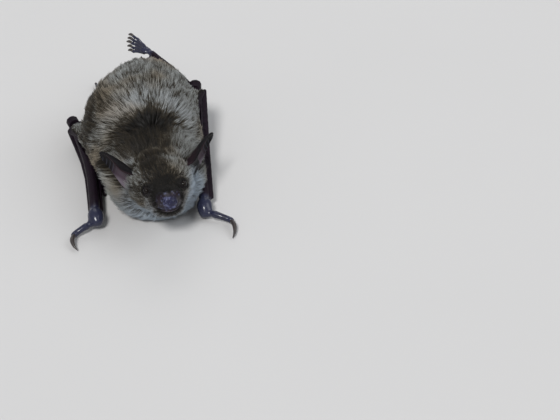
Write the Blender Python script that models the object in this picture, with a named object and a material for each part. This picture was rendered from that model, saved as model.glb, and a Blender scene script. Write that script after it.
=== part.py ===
"""A brown bat (a small mouse-eared bat) crouching on the floor, life size, one solid for each named part.

The bat looks along -Y, its left side is +X, and +Z is up. Sizes are in millimetres until make_object turns
them into metres. The solids of the furred parts reach out to the tips of the coat.
"""

import math

import bpy
import numpy as np

MM = 0.001
GAP = 0.3  # clear space kept between parts that touch
FLOOR = 0.0

# Driving sizes of the animal, in mm.
FOREARM_RADIUS = 1.2
ARM_BOW = {"right": 1.3, "left": 0.2}  # how far the middle of the forearm bows towards the body
FINGER_RADIUS = 0.52
# Where the fingers lie round the forearm, in degrees downwards from its outer side.
FINGER_TURNS = {"right": (62, 102, 142), "left": (30, 70, 110)}
MEMBRANE = 0.6
EYE_RADIUS = 0.95
EAR_LENGTH = 13.2
EAR_HALF_WIDTH = 3.5
EAR_WALL = 0.6
TRAGUS_LENGTH = 6.0
TOE_RADIUS = 0.42
NECK_CUT = -9.0  # where the trunk and the neck are parted, along Y
MUZZLE_CUT = 7.7  # where head and muzzle are parted, along the head's own axis

# Where the middle of the bat's footprint lies in the drawing frame. It becomes the part's origin.
ORIGIN = np.array((-0.40, 9.28, 0.0))

# Where the head's centre lies, and how far the face turns to the left and lifts.
HEAD_AT = np.array((2.75, -21.3, 10.7))
HEAD_YAW = math.radians(4.4)
HEAD_LIFT = math.radians(14.0)

# Joints of the limbs. The bat leans on its right arm, and its left elbow stands high.
SHOULDER = {"right": (-9.0, -6.5, 8.0), "left": (10.0, -7.5, 8.5)}
ELBOW = {"right": (-15.7, 17.2, 5.4), "left": (14.6, 13.4, 13.6)}
WRIST = {"right": (-12.3, -18.7, 3.0), "left": (11.6, -20.0, 2.7)}
THUMB = {
    "right": ((-13.2, -20.4, 2.0), (-15.0, -21.6, 1.9), (-16.9, -22.4, 1.25)),
    "left": ((12.7, -23.0, 1.9), (14.4, -24.2, 1.8), (16.2, -25.1, 1.2)),
}
CLAW = {
    "right": ((-17.3, -22.9, 1.2), (-17.75, -24.8, 1.45), (-17.5, -26.3, 1.0), (-16.8, -27.4, 0.45)),
    "left": ((16.6, -25.6, 1.2), (17.0, -27.5, 1.4), (16.8, -29.4, 1.0), (16.1, -30.8, 0.45)),
}
HIP = {"right": (-3.0, 15.5, 7.5), "left": (6.2, 14.5, 8.0)}
KNEE = {"right": (-9.0, 24.0, 5.0), "left": (12.2, 24.0, 8.6)}
ANKLE = {"right": (-5.6, 34.0, 2.0), "left": (5.9, 35.4, 11.3)}
TOES = {"right": (-6.6, 41.4, 1.0), "left": (1.2, 39.8, 11.4)}
TOE_ROW = {"right": (1.0, 0.2, 0.0), "left": (0.25, -0.35, -0.9)}  # from one outer toe to the other
TAIL = ((2.8, 24.5, 6.0), (2.8, 30.5, 3.4), (2.9, 38.0, 1.8), (3.3, 45.5, 1.1), (3.9, 52.0, 0.7))


# ---------------------------------------------------------------- drawing helpers


def unit(vector):
    vector = np.asarray(vector, float)
    return vector / np.linalg.norm(vector)


def smooth_rows(rows, count):
    """Rows of numbers, read at `count` even steps along a smooth curve through them."""
    rows = np.array(rows, float)
    padded = np.vstack([2 * rows[0] - rows[1], rows, 2 * rows[-1] - rows[-2]])
    found = []
    for step in np.linspace(0, len(rows) - 1, count):
        k = min(int(step), len(rows) - 2)
        t = step - k
        a, b, c, d = padded[k : k + 4]
        found.append(
            0.5 * (2 * b + (c - a) * t + (2 * a - 5 * b + 4 * c - d) * t**2 + (3 * b - a - 3 * c + d) * t**3)
        )
    return np.array(found)


def oval(centre, side, up, half_width, above, below, count, fullness=0.9):
    """A ring: half_width to each side, `above` and `below` the centre. A fullness under 1 squares it."""
    ring = []
    for angle in np.arange(count) * 2 * math.pi / count:
        c, s = math.cos(angle), math.sin(angle)
        across = half_width * math.copysign(abs(c) ** fullness, c)
        rise = (above if s > 0 else below) * math.copysign(abs(s) ** fullness, s)
        ring.append(centre + across * side + rise * up)
    return ring


def make_material(name, colour, roughness):
    material = bpy.data.materials.new(name)
    material.use_nodes = True
    shader = material.node_tree.nodes["Principled BSDF"]
    shader.inputs["Base Color"].default_value = (*colour, 1.0)
    shader.inputs["Roughness"].default_value = roughness
    shader.inputs["Metallic"].default_value = 0.0
    return material


def make_object(name, points, faces, material):
    """An object from points in mm in the drawing frame."""
    mesh = bpy.data.meshes.new(name)
    mesh.from_pydata([tuple((np.asarray(p) - ORIGIN) * MM) for p in points], [], faces)
    mesh.materials.append(material)
    mesh.shade_smooth()
    mesh.set_sharp_from_angle(angle=math.radians(60))
    made = bpy.data.objects.new(name, mesh)
    bpy.context.scene.collection.objects.link(made)
    return made


def loft(name, rings, material):
    """A closed skin over rings of equal count, with a flat fan at each end."""
    count = len(rings[0])
    points = [p for ring in rings for p in ring]
    faces = []
    for k in range(len(rings) - 1):
        for i in range(count):
            j = (i + 1) % count
            faces.append((k * count + i, k * count + j, (k + 1) * count + j, (k + 1) * count + i))
    for ring, turned in ((0, False), (len(rings) - 1, True)):
        hub = len(points)
        points.append(np.mean(rings[ring], axis=0))
        for i in range(count):
            j = (i + 1) % count
            edge = (ring * count + i, ring * count + j)
            faces.append((edge[0], edge[1], hub) if turned else (edge[1], edge[0], hub))
    made = make_object(name, points, faces, material)
    face_outwards(made.data)
    return made


def face_outwards(mesh):
    """Turns the whole skin round where its volume comes out negative."""
    volume = 0.0
    for face in mesh.polygons:
        corners = [mesh.vertices[i].co for i in face.vertices]
        for k in range(1, len(corners) - 1):
            volume += corners[0].dot(corners[k].cross(corners[k + 1]))
    if volume < 0:
        mesh.flip_normals()


def tube(name, path, radii, material, steps=10, sides=10, flatten=1.0, up=(0, 0, 1)):
    """A smooth tapered limb through the points of `path`, with one radius for each of them."""
    rows = smooth_rows(np.column_stack([np.array(path, float), radii]), steps)
    rings = []
    for k, row in enumerate(rows):
        along = unit(rows[min(k + 1, steps - 1)][:3] - rows[max(k - 1, 0)][:3])
        side = unit(np.cross(along, up))
        top = np.cross(side, along)
        rings.append(oval(row[:3], side, top, row[3], row[3] * flatten, row[3] * flatten, sides, 1.0))
    first, last = rows[0], rows[-1]
    start = unit(rows[0][:3] - rows[1][:3])
    end = unit(rows[-1][:3] - rows[-2][:3])
    rings.insert(0, [p + (first[:3] + start * first[3] * 0.6 - p) * 0.45 for p in np.array(rings[0])])
    rings.append([p + (last[:3] + end * last[3] * 0.6 - p) * 0.45 for p in np.array(rings[-1])])
    return loft(name, rings, material)


def ball(name, centre, radius, material, rings=6, sides=10):
    """A round bead; the eye and the knuckles."""
    made = []
    for k in range(1, rings):
        polar = math.pi * k / rings
        around = np.asarray(centre) + np.array((0, 0, radius * math.cos(polar)))
        width = radius * math.sin(polar)
        made.append(oval(around, np.array((1.0, 0, 0)), np.array((0, 1.0, 0)), width, width, width, sides, 1))
    return loft(name, made, material)


def slab(name, grid, thickness, material):
    """A closed sheet of even thickness over a grid of points (rows of points, all of one length)."""
    grid = np.array(grid, float)
    down = np.gradient(grid, axis=0)
    across = np.gradient(grid, axis=1)
    normal = np.cross(across, down)
    normal /= np.linalg.norm(normal, axis=2, keepdims=True)
    layers = np.stack([grid + normal * thickness / 2, grid - normal * thickness / 2])
    rows, columns = grid.shape[:2]

    def at(layer, r, c):
        return (layer * rows + r) * columns + c

    faces = []
    for r in range(rows - 1):
        for c in range(columns - 1):
            faces.append((at(0, r, c), at(0, r + 1, c), at(0, r + 1, c + 1), at(0, r, c + 1)))
            faces.append((at(1, r, c), at(1, r, c + 1), at(1, r + 1, c + 1), at(1, r + 1, c)))
    border = [(0, c) for c in range(columns)]
    border += [(r, columns - 1) for r in range(1, rows)]
    border += [(rows - 1, c) for c in range(columns - 2, -1, -1)]
    border += [(r, 0) for r in range(rows - 2, 0, -1)]
    for k, (r, c) in enumerate(border):
        nr, nc = border[(k + 1) % len(border)]
        faces.append((at(0, r, c), at(0, nr, nc), at(1, nr, nc), at(1, r, c)))
    made = make_object(name, layers.reshape(-1, 3), faces, material)
    face_outwards(made.data)
    return made


def swollen(tool):
    """A hidden copy of a part's whole shape, grown by the gap, to cut room for that part."""
    name = tool.name + "_room"
    if name in bpy.data.objects:
        return bpy.data.objects[name]
    grown = bpy.data.objects.new(name, tool.data)
    bpy.context.scene.collection.objects.link(grown)
    grown.hide_render = True
    grown.display_type = "WIRE"
    push = grown.modifiers.new("grow", "DISPLACE")
    push.mid_level = 0.0
    push.strength = GAP * MM
    return grown


def carve(target, *tools):
    """Cuts room for each tool out of the target, with the gap all round it."""
    for tool in tools:
        cut = target.modifiers.new("room_for_" + tool.name, "BOOLEAN")
        cut.operation = "DIFFERENCE"
        cut.object = swollen(tool)


def fuse(target, tools):
    """Joins the tools into the target as one solid, and hides them."""
    for tool in tools:
        tool.hide_render = True
        tool.display_type = "WIRE"
        join = target.modifiers.new("with_" + tool.name, "BOOLEAN")
        join.operation = "UNION"
        join.object = tool
    return target


# ---------------------------------------------------------------- the animal


def head_point(forward, left, up):
    """A point in mm given in the head's own directions, from the middle of the skull."""
    ahead, to_left, to_top = head_axes()
    return HEAD_AT + forward * ahead + left * to_left + up * to_top


def head_axes():
    ahead = np.array(
        (
            math.sin(HEAD_YAW) * math.cos(HEAD_LIFT),
            -math.cos(HEAD_YAW) * math.cos(HEAD_LIFT),
            math.sin(HEAD_LIFT),
        )
    )
    to_left = np.array((math.cos(HEAD_YAW), math.sin(HEAD_YAW), 0.0))
    return ahead, to_left, np.cross(ahead, to_left)


def trunk_rings(rows, steps, count):
    """Rings across the body. A row is: along Y, centre X, half width, underside, widest height, top."""
    side, up = np.array((1.0, 0, 0)), np.array((0, 0, 1.0))
    rings = []
    for y, x, half, low, middle, top in smooth_rows(rows, steps):
        ring = oval(np.array((x, y, middle)), side, up, half, top - middle, middle - low, count, 0.86)
        rings.append([np.array((p[0], p[1], max(p[2], FLOOR))) for p in ring])
    return rings


def make_trunk(fur):
    rows = (
        (NECK_CUT + GAP / 2, 1.4, 12.2, -0.7, 8.7, 18.2),
        (-5.0, 1.2, 12.8, -0.8, 8.8, 19.2),
        (1.0, 0.8, 13.5, -0.8, 9.0, 20.2),
        (8.0, 0.9, 13.7, -0.8, 9.0, 20.4),
        (15.0, 1.8, 12.1, -0.6, 9.0, 19.7),
        (20.5, 2.5, 9.2, 0.4, 9.4, 18.0),
        (25.0, 3.0, 6.3, 2.4, 10.0, 15.9),
        (27.6, 3.2, 3.8, 5.2, 10.2, 13.8),
        (28.6, 3.3, 1.2, 8.4, 10.4, 12.0),
    )
    return loft("trunk", trunk_rings(rows, 12, 24), fur)


def make_neck(fur):
    rows = (
        (NECK_CUT - GAP / 2, 1.4, 12.1, -0.7, 8.6, 18.1),
        (-12.0, 1.6, 11.7, -0.5, 8.4, 17.1),
        (-15.0, 1.7, 11.2, -0.5, 8.0, 15.7),
        (-18.0, 2.0, 10.2, -0.3, 7.4, 13.6),
        (-20.8, 2.3, 8.2, 0.6, 6.4, 10.6),
        (-22.8, 2.6, 5.4, 2.0, 5.2, 8.0),
        (-23.9, 2.8, 2.0, 3.2, 4.6, 6.0),
    )
    return loft("neck", trunk_rings(rows, 8, 24), fur)


# Along the head's axis: forward, half width, above and below the axis.
HEAD_ROWS = (
    (-5.6, 3.4, 2.6, 3.0),
    (-3.2, 6.4, 5.2, 5.0),
    (-0.4, 7.3, 6.1, 5.9),
    (2.4, 6.9, 5.6, 5.8),
    (4.8, 5.6, 4.2, 5.2),
    (7.0, 4.2, 2.8, 4.3),
    (9.0, 3.5, 2.1, 3.3),
    (10.8, 3.0, 1.9, 2.4),
    (12.0, 2.2, 1.6, 1.6),
    (12.5, 1.2, 1.1, 0.7),
)
JAW_ROWS = (
    (3.6, 2.6, -3.8, -5.5),
    (5.4, 3.6, -2.8, -5.5),
    (7.4, 3.5, -2.2, -5.0),
    (9.4, 2.7, -1.8, -4.2),
    (10.8, 1.9, -1.6, -3.4),
    (11.5, 0.9, -1.7, -2.7),
)


def head_rings(start, end, steps, count):
    """Rings of the head between two distances along its axis."""
    rows = smooth_rows(HEAD_ROWS, 60)
    ahead, to_left, to_top = head_axes()
    rings = []
    for forward in np.linspace(start, end, steps):
        half, above, below = (np.interp(forward, rows[:, 0], rows[:, k]) for k in (1, 2, 3))
        rings.append(oval(head_point(forward, 0, 0), to_left, to_top, half, above, below, count, 0.95))
    return rings


def make_head(fur, bare):
    nose_end = HEAD_ROWS[-1][0]
    head = loft("head", head_rings(HEAD_ROWS[0][0], MUZZLE_CUT - GAP / 2, 10, 22), fur)
    muzzle = loft("muzzle", head_rings(MUZZLE_CUT + GAP / 2, nose_end, 7, 22), bare)
    ahead, to_left, to_top = head_axes()
    rings = []
    for forward, half, top, low in smooth_rows(JAW_ROWS, 9):
        middle = (top + low) / 2
        rings.append(
            oval(head_point(forward, 0, middle), to_left, to_top, half, top - middle, middle - low, 16, 0.9)
        )
    jaw = loft("lower_jaw", rings, bare)
    carve(head, jaw)
    carve(muzzle, jaw)
    return head, muzzle, jaw


def make_eye(side, material):
    sign = 1 if side == "left" else -1
    return ball("eye_" + side, head_point(6.4, sign * 3.75, 1.3), EYE_RADIUS, material)


# In the head's own directions: forward, outward, up. The ears are laid back along the neck.
EAR_BASE = (0.9, 5.9, 1.1)
EAR_LEAN = {"right": (-0.85, 0.43, 0.29), "left": (-0.72, 0.61, 0.35)}
EAR_OPENS = (0.40, 0.88, -0.24)
# Along the ear: share of the length, share of the half width, curl in degrees, bend backwards in mm.
EAR_ROWS = (
    (0.00, 0.40, 66, 1.7),
    (0.15, 0.82, 76, 0.7),
    (0.35, 1.00, 66, 0.6),
    (0.60, 0.88, 54, 0.6),
    (0.82, 0.62, 42, 0.5),
    (0.95, 0.36, 34, 0.2),
    (1.00, 0.14, 28, 0.1),
)


def ear_frame(side):
    """Where an ear starts, the way it points, the way it opens, and the way across it."""
    ahead, to_left, to_top = head_axes()
    to_side = to_left if side == "left" else -to_left
    base = HEAD_AT + EAR_BASE[0] * ahead + EAR_BASE[1] * to_side + EAR_BASE[2] * to_top
    lean, opens = EAR_LEAN[side], EAR_OPENS
    along = unit(lean[0] * ahead + lean[1] * to_side + lean[2] * to_top)
    opens = opens[0] * ahead + opens[1] * to_side + opens[2] * to_top
    opens = unit(opens - along * opens.dot(along))
    return base, along, opens, np.cross(along, opens)


def make_ear(side, material):
    base, along, opens, across = ear_frame(side)
    arc_points = 7
    rings = []
    for share, width, curl, bend in smooth_rows(EAR_ROWS, 10):
        curl = math.radians(curl)
        radius = EAR_HALF_WIDTH * width / math.sin(curl)
        hub = base + along * EAR_LENGTH * share + opens * (radius * (1 - math.cos(curl)) * 0.6 - bend)
        inner, outer = [], []
        for angle in np.linspace(-curl, curl, arc_points):
            wall = across * math.sin(angle) - opens * (math.cos(angle) - math.cos(curl))
            away = across * math.sin(angle) - opens * math.cos(angle)
            inner.append(hub + wall * radius)
            outer.append(hub + wall * radius + away * EAR_WALL)
        rings.append(inner + outer[::-1])
    return loft("ear_" + side, rings, material)


def make_tragus(side, material):
    base, along, opens, _ = ear_frame(side)
    root = base + opens * 1.3 + along * 1.3
    tip = root + along * TRAGUS_LENGTH * 0.85 + opens * 1.1
    middle = (root + tip) / 2 + opens * 0.3
    return tube("tragus_" + side, (root, middle, tip), (0.7, 0.75, 0.36), material, 5, 8, 0.6, opens)


def make_arm(side, fur, bare, claw):
    """Upper arm, forearm, wrist, thumb and its claw, and the three long fingers folded back."""
    shoulder, elbow, wrist = (np.array(at[side], float) for at in (SHOULDER, ELBOW, WRIST))
    outward = 1 if side == "left" else -1
    near_elbow = elbow + (shoulder - elbow) * 0.12
    upper = tube(
        "upper_arm_" + side,
        (shoulder, (shoulder + near_elbow) / 2 - np.array((outward * 0.3, 0, 0)), near_elbow),
        (2.6, 2.2, 1.5),
        fur,
        6,
        10,
    )
    fore = tube(
        "forearm_" + side,
        (
            elbow,
            elbow + (wrist - elbow) * 0.22 - np.array((outward * ARM_BOW[side] * 0.8, 0, 0)),
            elbow + (wrist - elbow) * 0.6 - np.array((outward * ARM_BOW[side], 0, 0)),
            wrist,
        ),
        (1.25 * FOREARM_RADIUS, 1.2 * FOREARM_RADIUS, FOREARM_RADIUS, FOREARM_RADIUS),
        bare,
        8,
        10,
    )
    hand_way = unit(wrist - elbow)
    hand = tube(
        "wrist_" + side,
        (wrist - hand_way * 0.3, wrist + hand_way * 1.3, wrist + hand_way * 2.9 + np.array((0, 0, -0.7))),
        (1.75, 1.8, 1.25),
        bare,
        6,
        10,
    )
    thumb = tube("thumb_" + side, THUMB[side], (0.95, 0.75, 0.62), bare, 6, 8)
    hook = tube("thumb_claw_" + side, CLAW[side], (0.5, 0.5, 0.38, 0.27), claw, 7, 6)
    carve(fore, upper, hand)
    carve(thumb, hand)
    carve(hook, thumb)
    fingers, fingers_off = [], []
    for number, turn in enumerate(FINGER_TURNS[side], start=3):
        # Each finger lies against the forearm, at its own angle round it: 0 is outwards and 90 is below.
        turn = math.radians(turn)
        around = np.array((outward * math.cos(turn), 0.0, -math.sin(turn)))
        off = (FOREARM_RADIUS + GAP + FINGER_RADIUS) * around
        start = wrist + (elbow - wrist) * 0.06 + off * 0.95
        bend = elbow + (elbow - wrist) * 0.03 * (number - 4) + off * 1.2
        middle = start + (bend - start) * 0.5 - np.array((outward * ARM_BOW[side], 0, 0)) + off * 0.05
        way = [np.array((p[0], p[1], max(p[2], FINGER_RADIUS + FLOOR))) for p in (start, middle, bend)]
        finger = tube(
            "finger_%d_%s" % (number, side), way, (FINGER_RADIUS, FINGER_RADIUS, FINGER_RADIUS), bare, 6, 7
        )
        carve(finger, hand)
        fingers.append(finger)
        fingers_off.append(off)
    middle = sum(fingers_off) / len(fingers_off) * 0.6
    groove = tube(
        "arm_groove_" + side,
        (
            elbow - hand_way * 1.5 + middle,
            elbow + (wrist - elbow) * 0.3 - np.array((outward * ARM_BOW[side], 0, 0)) + middle,
            wrist + hand_way * 4.0 + middle * 0.5,
        ),
        (2.65, 2.45, 2.1),
        bare,
        7,
        10,
    )
    groove.hide_render = True
    groove.display_type = "WIRE"
    return upper, fingers, groove


def make_leg(side, fur, bare, claw):
    hip, knee, ankle, toe_end = (np.array(at[side], float) for at in (HIP, KNEE, ANKLE, TOES))
    thigh = tube("thigh_" + side, (hip, (hip + knee) / 2, knee), (3.0, 2.5, 1.45), fur, 6, 10)
    shank = tube("shank_" + side, (knee, (knee + ankle) / 2, ankle), (1.4, 1.1, 0.85), bare, 6, 9)
    way = unit(toe_end - ankle)
    sole = ankle + (toe_end - ankle) * 0.38
    heel = (ankle + way * 0.2, ankle + way * 1.6, sole)
    foot = tube("foot_" + side, heel, (0.95, 1.15, 1.35), bare, 5, 10, 0.62)
    across = np.array(TOE_ROW[side])
    across = unit(across - way * across.dot(way))
    toes = []
    for number in range(5):
        spread = (number - 2) * 0.62
        reach = 1.0 - 0.05 * abs(number - 2)
        root = sole - way * 0.5 + across * spread
        knuckle = sole + (toe_end - sole) * 0.5 * reach + across * spread * 1.7 + np.array((0, 0, 0.25))
        pad = sole + (toe_end - sole) * 0.9 * reach + across * spread * 2.1
        tip = sole + (toe_end - sole) * 1.35 * reach + across * spread * 2.2 + np.array((0, 0, -0.25))
        arch = (pad + tip) / 2 + np.array((0, 0, 0.3))
        toes.append(
            tube(
                "toe_%d_%s" % (number + 1, side),
                (root, knuckle, pad, arch, tip),
                (TOE_RADIUS, TOE_RADIUS, TOE_RADIUS * 0.95, 0.34, 0.26),
                claw,
                5,
                5,
            )
        )
    fuse(foot, toes)
    carve(shank, thigh)
    carve(foot, shank)
    return thigh, shank, foot


def make_tail(bare):
    return tube("tail", TAIL, (1.5, 1.15, 0.8, 0.62, 0.42), bare, 10, 8)


def make_tail_membrane(bare):
    """The skin between the shanks and the tail, lying over the tail, with its left side raised."""
    steps, columns = 7, 11
    tail = smooth_rows(TAIL, 40)
    lift = MEMBRANE / 2 + GAP
    grid = []
    for share in np.linspace(0.0, 1.0, steps):
        middle = tail[int(round(8 + 30 * share))] + np.array((0, 0, lift + 1.35 - 0.7 * share))
        edges = {}
        for side, inward in (("left", -1), ("right", 1)):
            knee, ankle = np.array(KNEE[side]), np.array(ANKLE[side])
            edges[side] = knee + (ankle - knee) * (0.28 + 0.6 * share) + np.array((inward * 1.9, 0, -0.2))
        row = []
        for across in np.linspace(-1, 1, columns):
            edge = edges["left"] if across > 0 else edges["right"]
            reach = abs(across)
            sag = math.sin(reach * math.pi) * (0.8 - 0.4 * share)
            fold = 0.3 * math.sin(reach * math.pi * 3) * reach
            point = middle + (edge - middle) * reach + np.array((0, 0, fold - sag))
            row.append(np.array((point[0], point[1], max(point[2], lift))))
        grid.append(row)
    return slab("tail_membrane", grid, MEMBRANE, bare)


# The gathered skin of each folded wing, from wrist past elbow to ankle: X, Y, lower and upper edge.
WING_ROWS = {
    "right": (
        (-10.1, -9.0, 0.0, 1.5),
        (-10.6, 2.0, 0.0, 1.8),
        (-11.6, 12.0, 0.0, 2.4),
        (-12.2, 19.5, 0.0, 3.6),
        (-11.2, 25.0, 0.0, 4.0),
        (-8.6, 31.0, 0.2, 2.8),
        (-7.8, 33.6, 0.8, 2.2),
    ),
    "left": (
        (12.4, -11.0, 0.0, 1.8),
        (13.6, -2.0, 0.0, 3.4),
        (14.7, 6.0, 0.1, 5.6),
        (14.9, 13.5, 0.6, 7.0),
        (14.6, 19.0, 1.6, 7.4),
        (14.0, 25.0, 3.4, 7.6),
        (11.0, 30.5, 6.2, 8.8),
        (8.2, 34.2, 8.6, 10.2),
    ),
}


def make_wing_membrane(side, bare):
    """A pleated curtain of wing skin between the folded fingers, the flank and the leg."""
    columns, pleats, depth = 7, 1.5, 0.35
    clear = MEMBRANE / 2 + 0.1
    grid = []
    for x, y, low, high in smooth_rows(WING_ROWS[side], 11):
        low = max(low, clear)
        row = []
        for share in np.linspace(0, 1, columns):
            fold = depth * math.sin(share * math.pi * 2 * pleats) * min(1.0, (high - low) / 3)
            row.append(np.array((x + fold, y, low + (high - low) * share)))
        grid.append(row)
    return slab("wing_membrane_" + side, grid, MEMBRANE, bare)


def main():
    for old in list(bpy.data.objects):
        bpy.data.objects.remove(old, do_unlink=True)
    fur = make_material("fur_brown", (0.16, 0.115, 0.07), 0.85)
    face = make_material("skin_face", (0.09, 0.055, 0.05), 0.5)
    wing = make_material("skin_wing", (0.055, 0.04, 0.045), 0.45)
    eye = make_material("eye_black", (0.006, 0.005, 0.005), 0.08)
    claw = make_material("claw", (0.05, 0.045, 0.05), 0.35)

    trunk = make_trunk(fur)
    neck = make_neck(fur)
    head, muzzle, jaw = make_head(fur, face)
    carve(neck, head, jaw)
    tail = make_tail(wing)
    carve(tail, trunk)
    carve(make_tail_membrane(wing), trunk)
    for side in ("left", "right"):
        eyeball = make_eye(side, eye)
        carve(head, eyeball)
        ear = make_ear(side, wing)
        tragus = make_tragus(side, face)
        carve(ear, head)
        carve(tragus, head, ear)
        carve(neck, ear)
        upper, fingers, groove = make_arm(side, fur, wing, claw)
        thigh, shank, foot = make_leg(side, fur, wing, claw)
        carve(trunk, upper, thigh, groove)
        carve(neck, groove)
        carve(fingers[2], upper)
        make_wing_membrane(side, wing)


main()
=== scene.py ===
"""A small brown bat crouching on a pale floor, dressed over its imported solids.

One skin takes the place of the flesh. A coat of fine hairs grows from it, out to the solids of the
furred parts. Each hair is a flat, tapered strip, one face thick. Eyes, claws and whiskers are pieces of
their own. The bat looks along -Y and its left side is +X. Places and lengths are in millimetres until
they are put into a mesh or a material, in metres.
"""

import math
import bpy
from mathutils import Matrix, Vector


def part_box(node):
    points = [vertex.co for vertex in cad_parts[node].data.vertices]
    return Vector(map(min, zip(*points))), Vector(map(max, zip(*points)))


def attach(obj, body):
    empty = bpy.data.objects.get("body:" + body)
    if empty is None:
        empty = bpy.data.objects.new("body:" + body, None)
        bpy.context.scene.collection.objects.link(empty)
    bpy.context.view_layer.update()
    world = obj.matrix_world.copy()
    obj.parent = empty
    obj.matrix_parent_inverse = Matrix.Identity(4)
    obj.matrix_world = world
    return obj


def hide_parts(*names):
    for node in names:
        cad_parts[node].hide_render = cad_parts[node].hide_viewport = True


bl_info = {
    "name": "Brown bat",
    "version": (1, 0, 0),
    "blender": (4, 5, 0),
    "location": "3D View > Sidebar > Bat",
    "description": "Skin, coat, eyes, claws and whiskers for a crouching brown bat",
    "category": "Add Mesh",
}

import bmesh
import bpy
import numpy as np
from bpy.props import FloatProperty, FloatVectorProperty, IntProperty, PointerProperty
from mathutils import Matrix, Vector
from mathutils.bvhtree import BVHTree
from mathutils.kdtree import KDTree

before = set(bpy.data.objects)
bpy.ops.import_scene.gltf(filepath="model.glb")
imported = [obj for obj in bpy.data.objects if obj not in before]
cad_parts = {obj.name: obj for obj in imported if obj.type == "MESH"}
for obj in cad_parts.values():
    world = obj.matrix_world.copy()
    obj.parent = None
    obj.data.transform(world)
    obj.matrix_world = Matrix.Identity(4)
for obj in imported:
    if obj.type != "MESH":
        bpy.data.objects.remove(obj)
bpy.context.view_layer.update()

MM = 0.001
SIDES = ("left", "right")
SIGN = {"left": 1.0, "right": -1.0}  # of outward, along X and across the head

FURRED = ("trunk", "neck", "head", "upper_arm_left", "upper_arm_right", "thigh_left", "thigh_right")
JAWS = ("muzzle", "lower_jaw")
EYES = ("eye_left", "eye_right")
CLAWS = ("thumb_claw_left", "thumb_claw_right")
BARE = tuple(sorted(set(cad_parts) - set(FURRED) - set(EYES) - set(CLAWS)))
FURRED_LIMBS = (("upper_arm_", "forearm_"), ("thigh_", "shank_"))  # each with the bare one past its joint

# The head's own directions: it turns a little to the left and lifts.
HEAD_YAW = math.radians(4.4)
HEAD_LIFT = math.radians(14.0)
HEAD_AHEAD = np.array(
    (
        math.sin(HEAD_YAW) * math.cos(HEAD_LIFT),
        -math.cos(HEAD_YAW) * math.cos(HEAD_LIFT),
        math.sin(HEAD_LIFT),
    )
)
HEAD_LEFT = np.array((math.cos(HEAD_YAW), math.sin(HEAD_YAW), 0.0))
HEAD_UP = np.cross(HEAD_AHEAD, HEAD_LEFT)
EYE_FORWARD = 6.4  # how far the eyes lie ahead of the middle of the skull
EYE_ABOVE = 1.3


def node_box(name):
    """The lowest and the highest corner of a frame node, in mm."""
    return (np.array(corner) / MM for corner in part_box(name))


def node_middle(name):
    low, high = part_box(name)
    return np.array((low + high) / 2) / MM


BETWEEN_EYES = (node_middle("eye_left") + node_middle("eye_right")) / 2
SKULL = BETWEEN_EYES - HEAD_AHEAD * EYE_FORWARD - HEAD_UP * EYE_ABOVE


def in_head(points):
    """Columns: forward of the skull's middle, to its left, and above it, in mm."""
    away = np.asarray(points, float) - SKULL
    return np.stack([away @ HEAD_AHEAD, away @ HEAD_LEFT, away @ HEAD_UP], axis=-1)


def from_head(forward, left, up):
    return SKULL + forward * HEAD_AHEAD + left * HEAD_LEFT + up * HEAD_UP


# ---------------------------------------------------------------- numbers and meshes


def ramp(value, low, high):
    """0 below low and 1 above high, smooth between them; low may be the larger."""
    share = np.clip((np.asarray(value, float) - low) / (high - low), 0.0, 1.0)
    return share * share * (3 - 2 * share)


def bump(points, centre, radius):
    """1 at the centre and 0 past the radius."""
    return ramp(np.linalg.norm(points - np.asarray(centre), axis=-1), radius, 0.0)


def unit(vectors):
    vectors = np.asarray(vectors, float)
    return vectors / np.maximum(np.linalg.norm(vectors, axis=-1, keepdims=True), 1e-9)


def distance(points, place):
    return np.linalg.norm(points - place, axis=-1)


def mesh_points(mesh):
    points = np.empty(len(mesh.vertices) * 3, np.float32)
    mesh.vertices.foreach_get("co", points)
    return points.reshape(-1, 3)


def mesh_triangles(mesh):
    mesh.calc_loop_triangles()
    faces = np.empty(len(mesh.loop_triangles) * 3, np.int32)
    mesh.loop_triangles.foreach_get("vertices", faces)
    return faces.reshape(-1, 3)


def node_shape(name):
    """Points in mm and triangles of a frame node, its loose corners joined."""
    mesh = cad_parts[name].data
    kept, index = np.unique(np.round(mesh_points(mesh) / MM, 3), axis=0, return_inverse=True)
    faces = index.reshape(-1)[mesh_triangles(mesh)]
    whole = (faces[:, 0] != faces[:, 1]) & (faces[:, 1] != faces[:, 2]) & (faces[:, 2] != faces[:, 0])
    return kept.astype(float), faces[whole]


def face_normals(points, faces):
    """Each face's normal, as long as twice its area; faces are all triangles or all quads."""
    corners = [points[faces[:, k]] for k in range(faces.shape[1])]
    if len(corners) == 3:
        return np.cross(corners[1] - corners[0], corners[2] - corners[0])
    return np.cross(corners[2] - corners[0], corners[3] - corners[1])


def point_normals(points, faces):
    normals = face_normals(points, faces)
    total = np.zeros_like(points)
    for corner in range(faces.shape[1]):
        for axis in range(3):
            total[:, axis] += np.bincount(faces[:, corner], normals[:, axis], len(points))
    return unit(total)


def edge_pairs(faces):
    """The two ends of every edge, each edge once."""
    ahead = np.roll(faces, -1, axis=1)
    pairs = np.vstack([np.stack([faces[:, k], ahead[:, k]], 1) for k in range(faces.shape[1])])
    return np.unique(np.sort(pairs, axis=1), axis=0)


def neighbour_mean(values, pairs):
    """For each point, the mean of a value over the points it shares an edge with."""
    values = values.reshape(len(values), -1)
    count = np.bincount(pairs.ravel(), minlength=len(values)).astype(float)
    total = np.zeros_like(values)
    for axis in range(values.shape[1]):
        total[:, axis] = np.bincount(pairs[:, 0], values[pairs[:, 1], axis], len(values))
        total[:, axis] += np.bincount(pairs[:, 1], values[pairs[:, 0], axis], len(values))
    return total / np.maximum(count, 1.0)[:, None]


EVEN_OUT = (0.55, -0.57)  # towards the neighbours, then back, so that the shape doesn't shrink


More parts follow.
